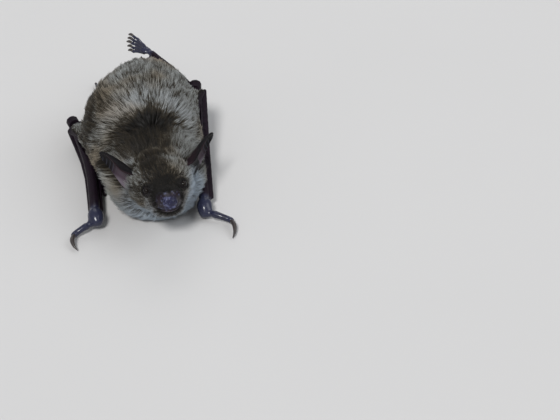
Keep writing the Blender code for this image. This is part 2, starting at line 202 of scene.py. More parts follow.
def relaxed(points, pairs, rounds, weight=1.0):
    """Evens out steps between neighbours without shrinking the shape."""
    weight = np.broadcast_to(np.asarray(weight, float).reshape(-1, 1), (len(points), 1))
    for _ in range(rounds):
        for push in EVEN_OUT:
            points = points + push * weight * (neighbour_mean(points, pairs) - points)
    return points


def grown(shape, by):
    points, faces = shape
    return points + point_normals(points, faces) * by, faces


def taken(shape):
    """Points and faces of a bmesh, which is freed."""
    shape.verts.index_update()
    points = np.array([v.co for v in shape.verts])
    faces = np.array([[v.index for v in f.verts] for f in shape.faces])
    shape.free()
    return points, faces


def bridge(start, end, radius):
    """A closed bar of flesh under the coat, which ties two parts into one skin."""
    made = bmesh.new()
    length = np.linalg.norm(end - start)
    turn = Vector(end - start).to_track_quat("Z", "Y").to_matrix().to_4x4()
    place = Matrix.Translation(Vector((start + end) / 2)) @ turn
    bmesh.ops.create_cone(
        made, cap_ends=True, segments=16, radius1=radius, radius2=radius, depth=length, matrix=place
    )
    bmesh.ops.triangulate(made, faces=made.faces)
    return taken(made)


def split_quads(faces):
    return np.vstack([faces[:, (0, 1, 2)], faces[:, (0, 2, 3)]])


def together(shapes):
    """The points of several shapes, and their faces counted on from one to the next."""
    starts = np.cumsum([0] + [len(points) for points, _ in shapes])
    points = np.vstack([points for points, _ in shapes])
    return points, np.vstack([faces + start for (_, faces), start in zip(shapes, starts)])


def search_tree(points, faces):
    return BVHTree.FromPolygons(points.tolist(), faces.tolist())


def gap_to(points, shapes):
    """How far each point lies from the nearest of some shapes, in mm."""
    tree = search_tree(*together(shapes))
    return np.array([tree.find_nearest(point)[3] for point in points.tolist()])


def simple_object(name, points, faces):
    mesh = bpy.data.meshes.new(name)
    mesh.from_pydata(points.tolist(), [], faces.tolist())
    made = bpy.data.objects.new(name, mesh)
    bpy.context.scene.collection.objects.link(made)
    return made


def evaluated(holder):
    """A plain mesh of an object with its modifiers applied."""
    return bpy.data.meshes.new_from_object(holder.evaluated_get(bpy.context.evaluated_depsgraph_get()))


def voxel_skin(shapes, voxel):
    """One closed skin round several closed shapes: points and quads."""
    holder = simple_object("rough", *together(shapes))
    remesh = holder.modifiers.new("voxels", "REMESH")
    remesh.mode = "VOXEL"
    remesh.voxel_size = voxel
    made = evaluated(holder)
    corners = np.empty(len(made.loops), np.int32)
    made.loops.foreach_get("vertex_index", corners)
    points = mesh_points(made).astype(float)
    bpy.data.meshes.remove(holder.data)
    bpy.data.meshes.remove(made)
    return points, corners.reshape(-1, 4)


def largest_body(points, faces):
    """Drops crumbs: keeps only the connected skin with the most points."""
    label = np.arange(len(points))
    pairs = edge_pairs(faces)
    while True:
        low = np.minimum(label[pairs[:, 0]], label[pairs[:, 1]])
        fresh = label.copy()
        np.minimum.at(fresh, pairs[:, 0], low)
        np.minimum.at(fresh, pairs[:, 1], low)
        fresh = fresh[fresh]
        if (fresh == label).all():
            break
        label = fresh
    values, counts = np.unique(label, return_counts=True)
    kept = label == values[np.argmax(counts)]
    index = np.cumsum(kept) - 1
    return points[kept], index[faces[kept[faces[:, 0]]]]


def mesh_object(name, points, faces, material, smooth=True):
    """An object at the origin, from points in mm."""
    mesh = bpy.data.meshes.new(name)
    count, sides = faces.shape
    mesh.vertices.add(len(points))
    mesh.vertices.foreach_set("co", (np.asarray(points) * MM).astype(np.float32).ravel())
    mesh.loops.add(count * sides)
    mesh.loops.foreach_set("vertex_index", faces.astype(np.int32).ravel())
    mesh.polygons.add(count)
    mesh.polygons.foreach_set("loop_start", np.arange(count, dtype=np.int32) * sides)
    mesh.update(calc_edges=True)
    mesh.validate()
    if smooth:
        mesh.shade_smooth()
    mesh.materials.append(material)
    made = bpy.data.objects.new(name, mesh)
    bpy.context.scene.collection.objects.link(made)
    return made


# ---------------------------------------------------------------- where things are


def node_end(name, other):
    """The place in mm where a node comes nearest another one."""
    points, towards = node_shape(name)[0], node_shape(other)[0]
    gaps = np.linalg.norm(points[:, None] - towards[None], axis=2)
    here, there = np.unravel_index(np.argmin(gaps), gaps.shape)
    return (points[here] + towards[there]) / 2


def head_way(side, forward, out, up):
    """A direction given by the head's own ones."""
    return forward * HEAD_AHEAD + out * (HEAD_LEFT * SIGN[side]) + up * HEAD_UP


# In the head's own directions: forward, outward, up. The ears are laid back along the neck.
EAR_BASE = (0.9, 5.9, 1.1)
EAR_LEAN = {"right": (-0.85, 0.43, 0.29), "left": (-0.72, 0.61, 0.35)}
EAR_OPENS = {"right": (0.34, 0.88, -0.30), "left": (0.50, 0.82, -0.36)}
EAR_LENGTH = 13.2


def ear_frame(side):
    """Where an ear starts, the way it points, the way it opens, and the way across it."""
    along = unit(head_way(side, *EAR_LEAN[side]))
    opens = head_way(side, *EAR_OPENS[side])
    opens = unit(opens - along * opens.dot(along))
    return SKULL + head_way(side, *EAR_BASE), along, opens, np.cross(along, opens)


# ---------------------------------------------------------------- the flesh under the coat

CLOSING = 0.2  # how far the parts are swollen to close the thin cuts between them
FLESH_VOXEL = 0.4
BODY_VOXEL = 0.2
HEAD_VOXEL = 0.14
INSET_STEPS = 4
WRIST_ROUNDING = 22  # rounds of evening out that take the corners off the wrists
NECK_SEAM = (-5.0, -2.0)  # the head's and the body's skins overlap between these, under the coat
MIDDLE_OF_HEAD = from_head(3.0, 0.0, 0.0)
BACK_DEPTH, BELLY_LESS, RUMP_LESS = 3.3, 0.9, 0.8  # the depth of the coat, and where it is thinner
SCALP_DEPTH, BROW_LESS, FACE_LESS, CHEEK_MORE = 2.7, 1.6, 0.85, 0.9
LIMB_DEPTH = {"upper_arm_": 1.5, "thigh_": 1.6}


def coat_depth(points):
    """How far the tips of the coat stand off the skin, in mm."""
    forward, _, up = in_head(points).T
    body = BACK_DEPTH - BELLY_LESS * ramp(points[:, 2], 5.0, 1.5) - RUMP_LESS * ramp(points[:, 1], 8.0, 18.0)
    head = SCALP_DEPTH - BROW_LESS * ramp(forward, 0.0, 4.5) - FACE_LESS * ramp(forward, 4.0, 6.4)
    head += CHEEK_MORE * ramp(up, 0.5, -4.0) * ramp(forward, 7.0, 3.0)
    near_head = ramp(distance(points, MIDDLE_OF_HEAD), 12.5, 8.5)
    depth = body * (1 - near_head) + head * near_head
    depth *= ramp(forward, 8.4, 6.6) * near_head + 1 - near_head
    outer = ramp(np.abs(points[:, 0] - 0.5), 8.5, 11.5)
    for side in SIDES:
        for limb, next_limb in FURRED_LIMBS:
            low, high = node_box(limb + side)
            share = np.max(np.abs(points - (low + high) / 2) / (high - low) * 2, axis=1)
            thinner = np.minimum(depth, LIMB_DEPTH[limb]) - depth
            depth += thinner * (1 - ramp(share, 0.75, 1.1)) * outer
            depth *= ramp(distance(points, node_end(limb + side, next_limb + side)), 1.5, 5.0)
    return depth


def cut_off(points, faces, place, away):
    """The part of a closed shape that lies behind a plane, with its cut closed."""
    shape = bmesh.new()
    corners = [shape.verts.new(point) for point in points]
    for face in faces:
        shape.faces.new([corners[i] for i in face])
    everything = shape.verts[:] + shape.edges[:] + shape.faces[:]
    bmesh.ops.bisect_plane(
        shape, geom=everything, dist=1e-4, plane_co=Vector(place), plane_no=Vector(away), clear_outer=True
    )
    bmesh.ops.holes_fill(shape, edges=[edge for edge in shape.edges if edge.is_boundary], sides=0)
    bmesh.ops.triangulate(shape, faces=shape.faces)
    return taken(shape)


def make_flesh():
    """The body as it is under the coat: the furred solids and the muzzle, inset by the coat's depth."""
    shapes = [grown(node_shape(name), CLOSING) for name in FURRED + JAWS]
    points, faces = voxel_skin(shapes, FLESH_VOXEL)
    points = relaxed(points, edge_pairs(faces), 8)
    for _ in range(INSET_STEPS):
        inset = (coat_depth(points) + CLOSING) / INSET_STEPS
        points = points - point_normals(points, faces) * inset[:, None]
        points = relaxed(points, edge_pairs(faces), 5)
        points, faces = voxel_skin([(points, split_quads(faces))], FLESH_VOXEL)
        points, faces = largest_body(points, faces)
    return points, split_quads(faces)


# Along the ear: share of its length, share of its half width, curl in degrees, bend backwards in mm.
EAR_ROWS = np.array(
    (
        (0.00, 0.40, 66, 1.7),
        (0.15, 0.82, 76, 0.7),
        (0.35, 1.00, 66, 0.6),
        (0.60, 0.88, 54, 0.6),
        (0.82, 0.62, 42, 0.5),
        (0.95, 0.36, 34, 0.2),
        (1.00, 0.14, 28, 0.1),
    )
)
EAR_HALF_WIDTH = {"right": 3.4, "left": 2.6}
EAR_WALL = 0.55
EAR_RIDGES = 13.0  # pale lines across the inside, in the whole length of an ear
EAR_ROOT_DEPTH = 2.6  # how far the foot of the ear reaches into the head
EAR_ROOT_RADIUS = 2.4
TRAGUS_LENGTH = 6.6
TRAGUS_HALF_WIDTH = 1.05
TRAGUS_LEAN = {"right": -0.25, "left": 0.25}


def smooth_rows(rows, places):
    """Rows of numbers read along a smooth curve through them, at places given in row numbers."""
    rows = np.asarray(rows, float)
    padded = np.vstack([2 * rows[0] - rows[1], rows, 2 * rows[-1] - rows[-2]])
    k = np.minimum(np.asarray(places).astype(int), len(rows) - 2)
    t = (np.asarray(places) - k)[:, None]
    a, b, c, d = (padded[k + n] for n in range(4))
    bend, twist = 2 * a - 5 * b + 4 * c - d, 3 * b - a - 3 * c + d
    return 0.5 * (2 * b + (c - a) * t + bend * t**2 + twist * t**3)


def round_turns(count):
    """Even turns round a circle, as a column."""
    return np.linspace(0, 2 * math.pi, count, endpoint=False)[:, None]


def tube_faces(rings, around):
    """Triangles of a closed tube of rings, with a fan at each end round two last points."""
    k, i = (part.ravel() for part in np.meshgrid(np.arange(rings - 1), np.arange(around), indexing="ij"))
    j = (i + 1) % around
    a, b, c, d = k * around + i, k * around + j, (k + 1) * around + j, (k + 1) * around + i
    i = np.arange(around)
    j = (i + 1) % around
    hub, last = rings * around, (rings - 1) * around
    first_fan = np.stack([j, i, np.full(around, hub)], 1)
    last_fan = np.stack([last + i, last + j, np.full(around, hub + 1)], 1)
    return np.vstack([np.stack([a, b, c], 1), np.stack([a, c, d], 1), first_fan, last_fan])


def lofted(rings):
    """A closed shape over rings of points, facing outwards."""
    rings = np.asarray(rings)
    points = np.vstack([rings.reshape(-1, 3), rings[0].mean(0), rings[-1].mean(0)])
    faces = tube_faces(*rings.shape[:2])
    a, b, c = (points[faces[:, k]] for k in range(3))
    volume = np.einsum("ij,ij->", a, np.cross(b, c))
    return points, faces if volume >= 0 else faces[:, ::-1]


def ear_shape(side):
    """A thin ear, curled round its opening, with a fine rounded rim."""
    base, along, opens, across = ear_frame(side)
    arc = np.linspace(-1, 1, 31)
    rings = []
    for share, width, curl, bend in smooth_rows(EAR_ROWS, np.linspace(0, len(EAR_ROWS) - 1, 70)):
        curl = math.radians(curl)
        radius = EAR_HALF_WIDTH[side] * width / math.sin(curl)
        hub = base + along * EAR_LENGTH * share + opens * (radius * (1 - math.cos(curl)) * 0.6 - bend)
        turn = (arc * curl)[:, None]
        inner = hub + radius * (across * np.sin(turn) - opens * (np.cos(turn) - math.cos(curl)))
        away = across * np.sin(turn) - opens * np.cos(turn)
        rim = 1 - np.abs(arc) ** 6
        wall = EAR_WALL * (0.55 + 0.25 * rim + 0.2 * (1 - arc**2))[:, None]
        rings.append(np.vstack([inner, (inner + away * wall)[::-1]]))
    return lofted(rings)


def tragus_shape(side):
    """The leaf that stands in the ear's opening."""
    base, along, opens, across = ear_frame(side)
    way = along * 0.94 + opens * 0.34 + across * TRAGUS_LEAN[side]
    foot = base + opens * 0.5 - along * 0.4
    turns = round_turns(20)
    rings = []
    for share in np.linspace(0, 1, 24):
        middle = foot + way * TRAGUS_LENGTH * share - opens * 0.9 * share**2
        swell = 1 + 0.35 * math.sin(math.pi * min(1.0, share * 1.6))
        half = TRAGUS_HALF_WIDTH * (1 - share) ** 0.6 * swell + 0.12
        rings.append(middle + across * half * np.cos(turns) + opens * 0.26 * np.sin(turns))
    return lofted(rings)


def ear_root(side):
    """The fleshy foot of an ear: the hull of its lowest rings and a patch of skull."""
    base, along, _, across = ear_frame(side)
    points = ear_shape(side)[0]
    low = points[(points - base) @ along < EAR_LENGTH * 0.03]
    inward = unit(SKULL - base)
    turns = round_turns(14)
    circle = across * np.cos(turns) + np.cross(inward, across) * np.sin(turns)
    patch = base + inward * EAR_ROOT_DEPTH + circle * EAR_ROOT_RADIUS
    shape = bmesh.new()
    for point in np.vstack([low, patch]):
        shape.verts.new(point)
    found = bmesh.ops.convex_hull(shape, input=shape.verts[:])
    inside = list(set(found["geom_interior"]) | set(found["geom_unused"]))
    bmesh.ops.delete(shape, geom=inside, context="VERTS")
    bmesh.ops.recalc_face_normals(shape, faces=shape.faces)
    return taken(shape)


def make_head_skin(flesh):
    """The skin of the head with its ears, as points and quads."""
    shapes = [cut_off(*flesh, SKULL + HEAD_AHEAD * NECK_SEAM[0], -HEAD_AHEAD)]
    for side in SIDES:
        shapes += [ear_shape(side), ear_root(side), tragus_shape(side)]
    points, faces = voxel_skin(shapes, HEAD_VOXEL)
    points, faces = largest_body(points, faces)
    pairs = edge_pairs(faces)
    points = relaxed(points, pairs, 6)
    return relaxed(sculpted_face(points, faces), pairs, 1), faces


EYE_OPENING = 0.64  # half the height of the gap between the lids
EYE_SCALE = 0.9  # of the solid eye's radius
LID_RADIUS, LID_RISE, LID_WIDTH = 0.93, 0.13, 0.17
LIP_RISE, MOUTH_DEPTH = 0.14, 0.42
EYE_GAZE = (0.55, 0.75, 0.36)  # forward, outward, up
MUZZLE_GROOVE = ((8.8, 0.2), (10.0, 0.3), (11.2, 0.35), (12.2, 0.3))  # how far forward, and how deep

# On each side of the nose, a gland, a nostril's rim and the nostril itself. In the head's own directions,
# forward, outward and up: which way the skin is pushed and where, then the radius and how far.
NOSE_HILLS = (
    ((0.0, 1.0, 0.7), (9.4, 1.9, 0.9), 1.9, 0.5),
    ((1.0, 0.7, 0.0), (12.3, 1.05, 0.1), 1.05, 0.6),
    ((-1.0, -0.9, 0.0), (12.85, 1.2, 0.2), 0.6, 0.85),
)


def gaze_of(side):
    return unit(head_way(side, *EYE_GAZE))


def pushed(points, direction, centre, radius, height):
    """Points moved along a direction by a smooth hill (or, with a minus, a pit) round a centre."""
    return points + direction * (bump(points, centre, radius) * height)[:, None]


def eye_socket(points, eye, gaze):
    """Flattens the skin round an eye into a socket with raised lids, and opens it over the eye."""
    away = points - eye
    height = away @ gaze
    across = away - height[:, None] * gaze
    flat = np.sqrt(np.maximum((across**2).sum(1), 1e-9))
    near = (height > -1.6) & (flat < 2.6)
    lids = LID_RISE * np.exp(-(((flat - LID_RADIUS) / LID_WIDTH) ** 2))
    level = 0.34 + lids - 0.3 * ramp(flat, 0.95, 1.8)
    points = points + gaze * ((level - height) * (ramp(flat, 1.95, 1.0) * near))[:, None]
    opening = 0.9 * ramp(flat, EYE_OPENING + 0.12, EYE_OPENING - 0.1) * near
    return points - gaze * opening[:, None]


def sculpted_face(points, faces):
    """Sockets and lids, the glands of the muzzle, nostrils and the line of the mouth."""
    forward, left, up = in_head(points).T
    narrow = 0.18 * ramp(forward, 7.0, 10.0) + 0.16 * ramp(forward, 9.5, 12.4)
    points = points - HEAD_LEFT * (left * narrow)[:, None]
    chin = ramp(up, -1.9, -4.6) * ramp(forward, 3.5, 7.5)
    points = points - HEAD_LEFT * (left * 0.34 * chin)[:, None]
    points = points - HEAD_AHEAD * (1.7 * ramp(up, -2.0, -3.2) * ramp(forward, 7.5, 11.5))[:, None]
    points = points + HEAD_UP * (0.7 * ramp(up, -2.6, -5.0) * ramp(forward, 5.0, 9.0))[:, None]
    normals = point_normals(points, faces)
    for side in SIDES:
        points = eye_socket(points, node_middle("eye_" + side), gaze_of(side))
        for way, (ahead, out, above), radius, height in NOSE_HILLS:
            place = from_head(ahead, out * SIGN[side], above)
            points = pushed(points, unit(head_way(side, *way)), place, radius, height)
    points = pushed(points, -HEAD_AHEAD, from_head(12.9, 0.0, 0.4), 0.75, 0.5)
    for ahead, depth in MUZZLE_GROOVE:
        points = pushed(points, -HEAD_UP, from_head(ahead, 0.0, 1.7), 1.2, depth)
    eyes = [node_middle(name) for name in EYES]
    rough = sum(bump(points, eye, 3.2) for eye in eyes)
    for eye in eyes:
        rough = rough * ramp(distance(points, eye), 1.2, 1.7)
    points = relaxed(points, edge_pairs(faces), 8, np.minimum(1.0, 2 * rough))
    forward, _, up = in_head(points).T
    mouth = -1.75 - 0.035 * np.maximum(11.6 - forward, 0) ** 1.5 + 0.25 * ramp(forward, 7.6, 6.4)
    inside_mouth = ramp(forward, 6.0, 7.0)
    groove = np.exp(-(((up - mouth) / 0.2) ** 2)) * inside_mouth
    lip = np.exp(-(((up - mouth - 0.45) / 0.3) ** 2)) * inside_mouth
    return points + normals * (LIP_RISE * lip - MOUTH_DEPTH * groove)[:, None]


def tube(path, radii, rings, around, flat=1.0):
    """A closed round limb along a smooth path: radii at its points, `flat` its height for its width."""
    places = np.linspace(0, len(path) - 1, rings)
    middle = smooth_rows(np.asarray(path, float), places)
    radius = smooth_rows(np.asarray(radii, float)[:, None], places)
    way = unit(np.gradient(middle, axis=0))
    side = unit(np.cross(way, (0.0, 0.0, 1.0)))
    rise = np.cross(side, way)
    turns = round_turns(around)[None]
    ring = side[:, None] * np.cos(turns) + rise[:, None] * np.sin(turns) * flat
    return lofted(middle[:, None] + ring * radius[:, None])


# Ankle, the end of the toes, and the way from one outer toe to the other.
FEET = {
    "right": ((-5.2, 24.72, 2.0), (-6.2, 32.12, 1.0), (1.0, 0.2, 0.0)),
    "left": ((6.3, 26.12, 11.3), (1.7, 31.1, 12.2), (0.25, -0.35, -0.9)),
}
TOES = 5
TOE_SPREAD = {"right": 1.0, "left": 0.85}
TOE_PITCH = 0.62  # from one toe's root to the next
TOE_RADII = (0.42, 0.36, 0.44, 0.37, 0.45, 0.3)  # swollen at the joints
SOLE_SHARE = 0.38  # of the way from the ankle to the end of the toes
FOOT_RADII, FOOT_FLATNESS = (0.9, 1.15, 1.35), 0.62
THUMB_RADII = (1.0, 0.74, 0.68, 0.7, 0.52)
THUMBS = {
    "right": ((-12.8, -29.68, 2.0), (-14.6, -30.88, 1.9), (-16.4, -31.6, 1.3)),
    "left": ((13.1, -32.28, 1.9), (14.8, -33.48, 1.8), (16.5, -34.3, 1.25)),
}
THUMB_CLAWS = {
    "right": ((-16.9, -32.18, 1.2), (-17.35, -34.08, 1.45), (-17.1, -35.58, 1.0), (-16.4, -36.68, 0.45)),
    "left": ((17.0, -34.88, 1.2), (17.4, -36.78, 1.4), (17.2, -38.68, 1.0), (16.5, -40.08, 0.45)),
}


def toe_path(side, number):
    """Root, knuckle, pad, arch and claw tip of one of a foot's five toes."""
    ankle, end, across = (np.array(value, float) for value in FEET[side])
    way = unit(end - ankle)
    across = unit(across - way * across.dot(way))
    sole = ankle + (end - ankle) * SOLE_SHARE
    spread = (number - 2) * TOE_PITCH * TOE_SPREAD[side]
    reach = 1.0 - 0.05 * abs(number - 2)
    root = sole - way * 0.5 + across * spread
    knuckle = sole + (end - sole) * 0.5 * reach + across * spread * 1.7 + np.array((0, 0, 0.25))
    pad = sole + (end - sole) * 0.9 * reach + across * spread * 2.1
    tip = sole + (end - sole) * 1.35 * reach + across * spread * 2.2 + np.array((0, 0, -0.25))
    return root, knuckle, pad, (pad + tip) / 2 + np.array((0, 0, 0.3)), tip


def foot_shapes(side):
    ankle, end, _ = (np.array(value, float) for value in FEET[side])
    way, sole = unit(end - ankle), ankle + (end - ankle) * SOLE_SHARE
    shapes = [tube((ankle - way * 0.6, ankle + way * 1.6, sole), FOOT_RADII, 10, 16, FOOT_FLATNESS)]
    radii = np.array(TOE_RADII) * (0.2 + 0.8 * TOE_SPREAD[side])
    for number in range(TOES):
        root, knuckle, pad, arch, _ = toe_path(side, number)
        path = (root, (root + knuckle) / 2, knuckle, (knuckle + pad) / 2, pad, pad + (arch - pad) * 0.45)
        shapes.append(tube(path, radii, 16, 10))
    return shapes


def make_body_skin(flesh):
    """The skin of trunk, limbs, wings and tail, as points and quads."""
    shapes = [cut_off(*flesh, SKULL + HEAD_AHEAD * NECK_SEAM[1], HEAD_AHEAD)]
    for side in SIDES:
        for limb, next_limb in FURRED_LIMBS:
            joint = node_end(limb + side, next_limb + side)
            shapes.append(bridge(node_middle(limb + side), joint, 1.1))
        claw = np.array(THUMB_CLAWS[side])
        thumb = np.vstack([THUMBS[side], claw[:1], claw[:1] + (claw[1] - claw[0]) * 0.22])
        shapes.append(tube(thumb, THUMB_RADII, 24, 16))
        hand = node_middle("wrist_" + side)
        for finger in (3, 4, 5):
            name = "finger_%d_%s" % (finger, side)
            root = node_end(name, "wrist_" + side)
            shapes.append(bridge(root + unit(root - hand) * 0.6, hand, 0.55))
    tail = node_end("tail", "trunk")
    shapes.append(bridge(tail + np.array((0, -6.0, 2.0)), tail + np.array((0, 1.2, -0.4)), 1.2))
    for side in SIDES:
        shapes += foot_shapes(side)
    elsewhere = ("foot", "thumb", "ear", "tragus", *JAWS)  # made above, or part of the head's skin
    limbs = [node_shape(name) for name in BARE if not name.startswith(elsewhere)]
    shapes += [grown(limb, CLOSING) for limb in limbs]
    points, faces = voxel_skin(shapes, BODY_VOXEL)
    points, faces = largest_body(points, faces)
    pairs = edge_pairs(faces)
    points = relaxed(points, pairs, 3)
    wrist = ramp(gap_to(points, [node_shape("wrist_" + side) for side in SIDES]), 1.3, 0.3)
    for _ in range(WRIST_ROUNDING):
        points += 0.5 * wrist[:, None] * (neighbour_mean(points, pairs) - points)
    bare = ramp(gap_to(points, limbs), 1.2, 0.4)
    points = points - point_normals(points, faces) * CLOSING * bare[:, None]
    return relaxed(points, pairs, 3), faces


# ---------------------------------------------------------------- materials

EVEN = (1.0, 1.0, 1.0)  # a round mark, stretched along no axis


def socket_group(name, inputs, outputs):
    """An empty shader group with named sockets: (kind, name, default)."""
    group = bpy.data.node_groups.new(name, "ShaderNodeTree")
    for kind, label, default in inputs:
        made = group.interface.new_socket(label, in_out="INPUT", socket_type="NodeSocket" + kind)
        if default is not None:
            made.default_value = default
    for kind, label in outputs:
        group.interface.new_socket(label, in_out="OUTPUT", socket_type="NodeSocket" + kind)
    return group, group.nodes.new("NodeGroupInput"), group.nodes.new("NodeGroupOutput")


class Sheet:
    """A short way to lay out nodes: `node` adds one, and the rest return the output of one or a few."""

    def __init__(self, tree):
        self.tree = tree

    def link(self, value, socket):
        if isinstance(value, bpy.types.NodeSocket):
            self.tree.links.new(value, socket)
        elif isinstance(value, (tuple, list)) and len(value) == 3 and socket.type == "RGBA":
            socket.default_value = (*value, 1.0)
        else:
            socket.default_value = value

    def node(self, kind, inputs=(), **settings):
        made = self.tree.nodes.new(kind)
        for key, value in settings.items():
            setattr(made, key, value)
        for key, value in dict(inputs).items():
            self.link(value, made.inputs[key])
        return made

    def maths(self, operation, a, b=0.0):
        return self.node("ShaderNodeMath", {0: a, 1: b}, operation=operation).outputs[0]

    def times(self, a, b):
        return self.maths("MULTIPLY", a, b)

    def sum(self, value, *parts, clamp=True):
        """A value with shares of others added one by one, each sum kept from 0 to 1 unless clamp is off."""
        for part, share in parts:
            inputs = {0: part, 1: share, 2: value}
            value = self.node("ShaderNodeMath", inputs, operation="MULTIPLY_ADD", use_clamp=clamp).outputs[0]
        return value

    def mix(self, share, a, b):
        made = self.node("ShaderNodeMix", data_type="RGBA")
        colours = [socket for socket in made.inputs if socket.type == "RGBA"]
        self.link(share, made.inputs["Factor"])
        self.link(a, colours[0])
        self.link(b, colours[1])
        return next(socket for socket in made.outputs if socket.type == "RGBA")

    def layered(self, colour, *layers):
        """A colour with others laid over it, each by a mask and the share of it that shows."""
        for mask, share, over in layers:
            colour = self.mix(self.times(mask, share), colour, over)
        return colour

    def noise(self, place, scale, detail=2.0, rough=0.5, stretch=None):
        if stretch:
            place = self.node("ShaderNodeMapping", {"Vector": place, "Scale": stretch}).outputs[0]
        inputs = {"Vector": place, "Scale": scale, "Detail": detail, "Roughness": rough}
        return self.node("ShaderNodeTexNoise", inputs).outputs["Fac"]

    def within(self, value, low, high):
        """0 below low, 1 above high; low may be the larger."""
        return self.node(
            "ShaderNodeMapRange",
            {"Value": value, "From Min": low, "From Max": high},
            interpolation_type="SMOOTHSTEP",
        ).outputs["Result"]

    def near(self, place, centre, radius, stretch=EVEN, core=0.35):
        """1 round a place on the bat, out to the core's share of the radius, and 0 past the radius."""
        centre = tuple(c * MM for c in centre)
        away = self.node("ShaderNodeVectorMath", {0: place, 1: centre}, operation="SUBTRACT").outputs[0]
        away = self.node("ShaderNodeVectorMath", {0: away, 1: stretch}, operation="MULTIPLY").outputs[0]
        length = self.node("ShaderNodeVectorMath", {0: away}, operation="LENGTH").outputs["Value"]
        return self.within(length, radius * MM, radius * MM * core)

    def three(self, name):
        """The three masks held in one of the skin's colour layers."""
        colour = self.node("ShaderNodeAttribute", attribute_name=name, attribute_type="GEOMETRY")
        return self.node("ShaderNodeSeparateColor", {0: colour.outputs["Color"]}).outputs[:3]

    def use(self, group, inputs):
        """A shader group placed with its own values."""
        made = self.tree.nodes.new("ShaderNodeGroup")
        made.node_tree = group
        for key, value in inputs.items():
            self.link(value, made.inputs[key])
        return made


def new_material(name):
    material = bpy.data.materials.new(name)
    material.use_nodes = True
    sheet = Sheet(material.node_tree)
    shader = material.node_tree.nodes["Principled BSDF"]
    place = sheet.node("ShaderNodeTexCoord").outputs["Object"]
    return material, sheet, shader, place


NAPE = np.array((2.6, -18.6, 17.7))  # where the bent neck opens the coat down to its dark roots

# The coat's pattern, and painted shade on the right side of the body: the middle of each, its radius, how it
# is squeezed along each axis, and its full core.
MARKS_AND_SHADE = {
    "nape": (NAPE + (-0.8, -2.0, -0.2), 12.5, (0.9, 1.4, 0.6), 0.28),
    "wedge": (NAPE + (1.2, 4.6, 1.0), 4.5, (1.5, 0.7, 0.6), 0.1),
    "ring": (NAPE + (0.5, 5.0, 1.0), 13.0, (0.8, 1.1, 0.9), 0.35),
    "forehead": (from_head(5.5, -0.5, 4.0), 7.0, EVEN, 0.1),
    "crown": (from_head(-0.2, -1.2, 6.3), 6.4, EVEN, 0.1),
    "face": (from_head(9.6, -0.6, 1.0), 6.2, EVEN, 0.35),
    "throat": (from_head(3.5, -1.0, -10.0), 14.0, (0.75, 0.9, 1.0), 0.35),
    "ruff": (from_head(0.5, 7.8, -3.2), 8.0, EVEN, 0.35),
    "cheek": (from_head(3.2, -6.4, -1.0), 4.6, EVEN, 0.35),
    "left temple": ((9.6, -22.5, 15.2), 8.5, EVEN, 0.1),
    "right temple": ((-5.2, -23.2, 14.8), 6.5, EVEN, 0.1),
    "behind left ear": ((7.8, -30.5, 15.0), 6.5, EVEN, 0.1),
    "behind right ear": ((-3.6, -26.3, 13.9), 2.4, EVEN, 0.35),
    "under right ear": ((-8.0, -25.5, 10.5), 6.5, EVEN, 0.35),
    "parting": ((1.6, -24.6, 16.6), 5.5, (0.7, 1.2, 0.8), 0.1),
    # Painted shade: darkens the coat on the right side of the body, where the outer fur lies in shade.
    "flank": ((-12.0, -5.0, 14.0), 11.0, EVEN, 0.35),
}
PALE_MIDDLE = (0.19, 0.19, 0.19)


def coat_marks_and_shade():
    """The bat's coat pattern, and painted shade on the right side of its body: the colour of a point on skin
    or coat, from where it is and how far up a hair.
    """
    group, given, out = socket_group(
        "coat_marks_and_shade",
        (
            ("Vector", "Place", None),
            ("Float", "Up the hair", 0.0),
            ("Float", "Chance", 0.5),
            ("Color", "Root", (0.010, 0.009, 0.008, 1.0)),
            ("Color", "Middle", (0.06, 0.046, 0.034, 1.0)),
            ("Color", "Tip", (0.33, 0.30, 0.25, 1.0)),
            ("Color", "Warm tip", (0.25, 0.20, 0.14, 1.0)),
            ("Color", "Pale tip", (0.52, 0.54, 0.56, 1.0)),
        ),
        (("Color", "Colour"),),
    )
    sheet = Sheet(group)
    place, up, chance = given.outputs["Place"], given.outputs["Up the hair"], given.outputs["Chance"]
    mark = {name: sheet.near(place, *where) for name, where in MARKS_AND_SHADE.items()}
    ring, ruff, throat, cheek = mark["ring"], mark["ruff"], mark["throat"], mark["cheek"]
    crown, under_ear = mark["crown"], mark["under right ear"]
    nape = sheet.sum(mark["nape"], (mark["wedge"], 0.4))
    ring = sheet.sum(ring, (nape, -1.0))
    light = sheet.sum(
        mark["left temple"],
        (mark["right temple"], 0.3),
        (mark["behind left ear"], 0.6),
        (mark["parting"], 0.4),
    )
    pale = sheet.sum(throat, (ruff, 1.0), (mark["behind right ear"], 0.3), (cheek, -0.7))
    dark = sheet.sum(
        nape,
        (mark["forehead"], 0.55),
        (crown, 0.65),
        (light, -0.6),
        # painted shade on the right side of the body
        (mark["flank"], 0.5),
        (mark["face"], 1.0),
        (pale, -1.0),
    )
    patches = sheet.noise(place, 210.0, 3.0)
    reach = sheet.sum(
        up,
        (sheet.maths("SUBTRACT", chance, 0.5), 0.95),
        (sheet.maths("SUBTRACT", patches, 0.5), 0.5),
        (ring, 0.1),
        (light, 0.06),
        (under_ear, 0.47),
        (ruff, 0.3),
        (throat, 0.2),
        (cheek, -0.22),
        clamp=False,
    )
    tipped = sheet.within(sheet.sum(reach, (dark, -0.68), clamp=False), 0.68, 1.04)
    middle = sheet.within(sheet.sum(reach, (dark, -0.6), clamp=False), 0.25, 0.85)
    warm = sheet.times(sheet.within(sheet.noise(place, 95.0, 1.0), 0.42, 0.66), 0.8)
    warm = sheet.sum(warm, (ring, 0.25), (under_ear, 0.3), clamp=False)
    warm = sheet.sum(warm, (crown, -0.5))
    tip = sheet.mix(warm, given.outputs["Tip"], given.outputs["Warm tip"])
    tip = sheet.mix(sheet.sum(pale, (ring, 0.3)), tip, given.outputs["Pale tip"])
    body = sheet.layered(given.outputs["Middle"], (pale, 0.6, PALE_MIDDLE))
    colour = sheet.mix(middle, given.outputs["Root"], body)
    colour = sheet.mix(tipped, colour, tip)
    group.links.new(colour, out.inputs["Colour"])
    return group


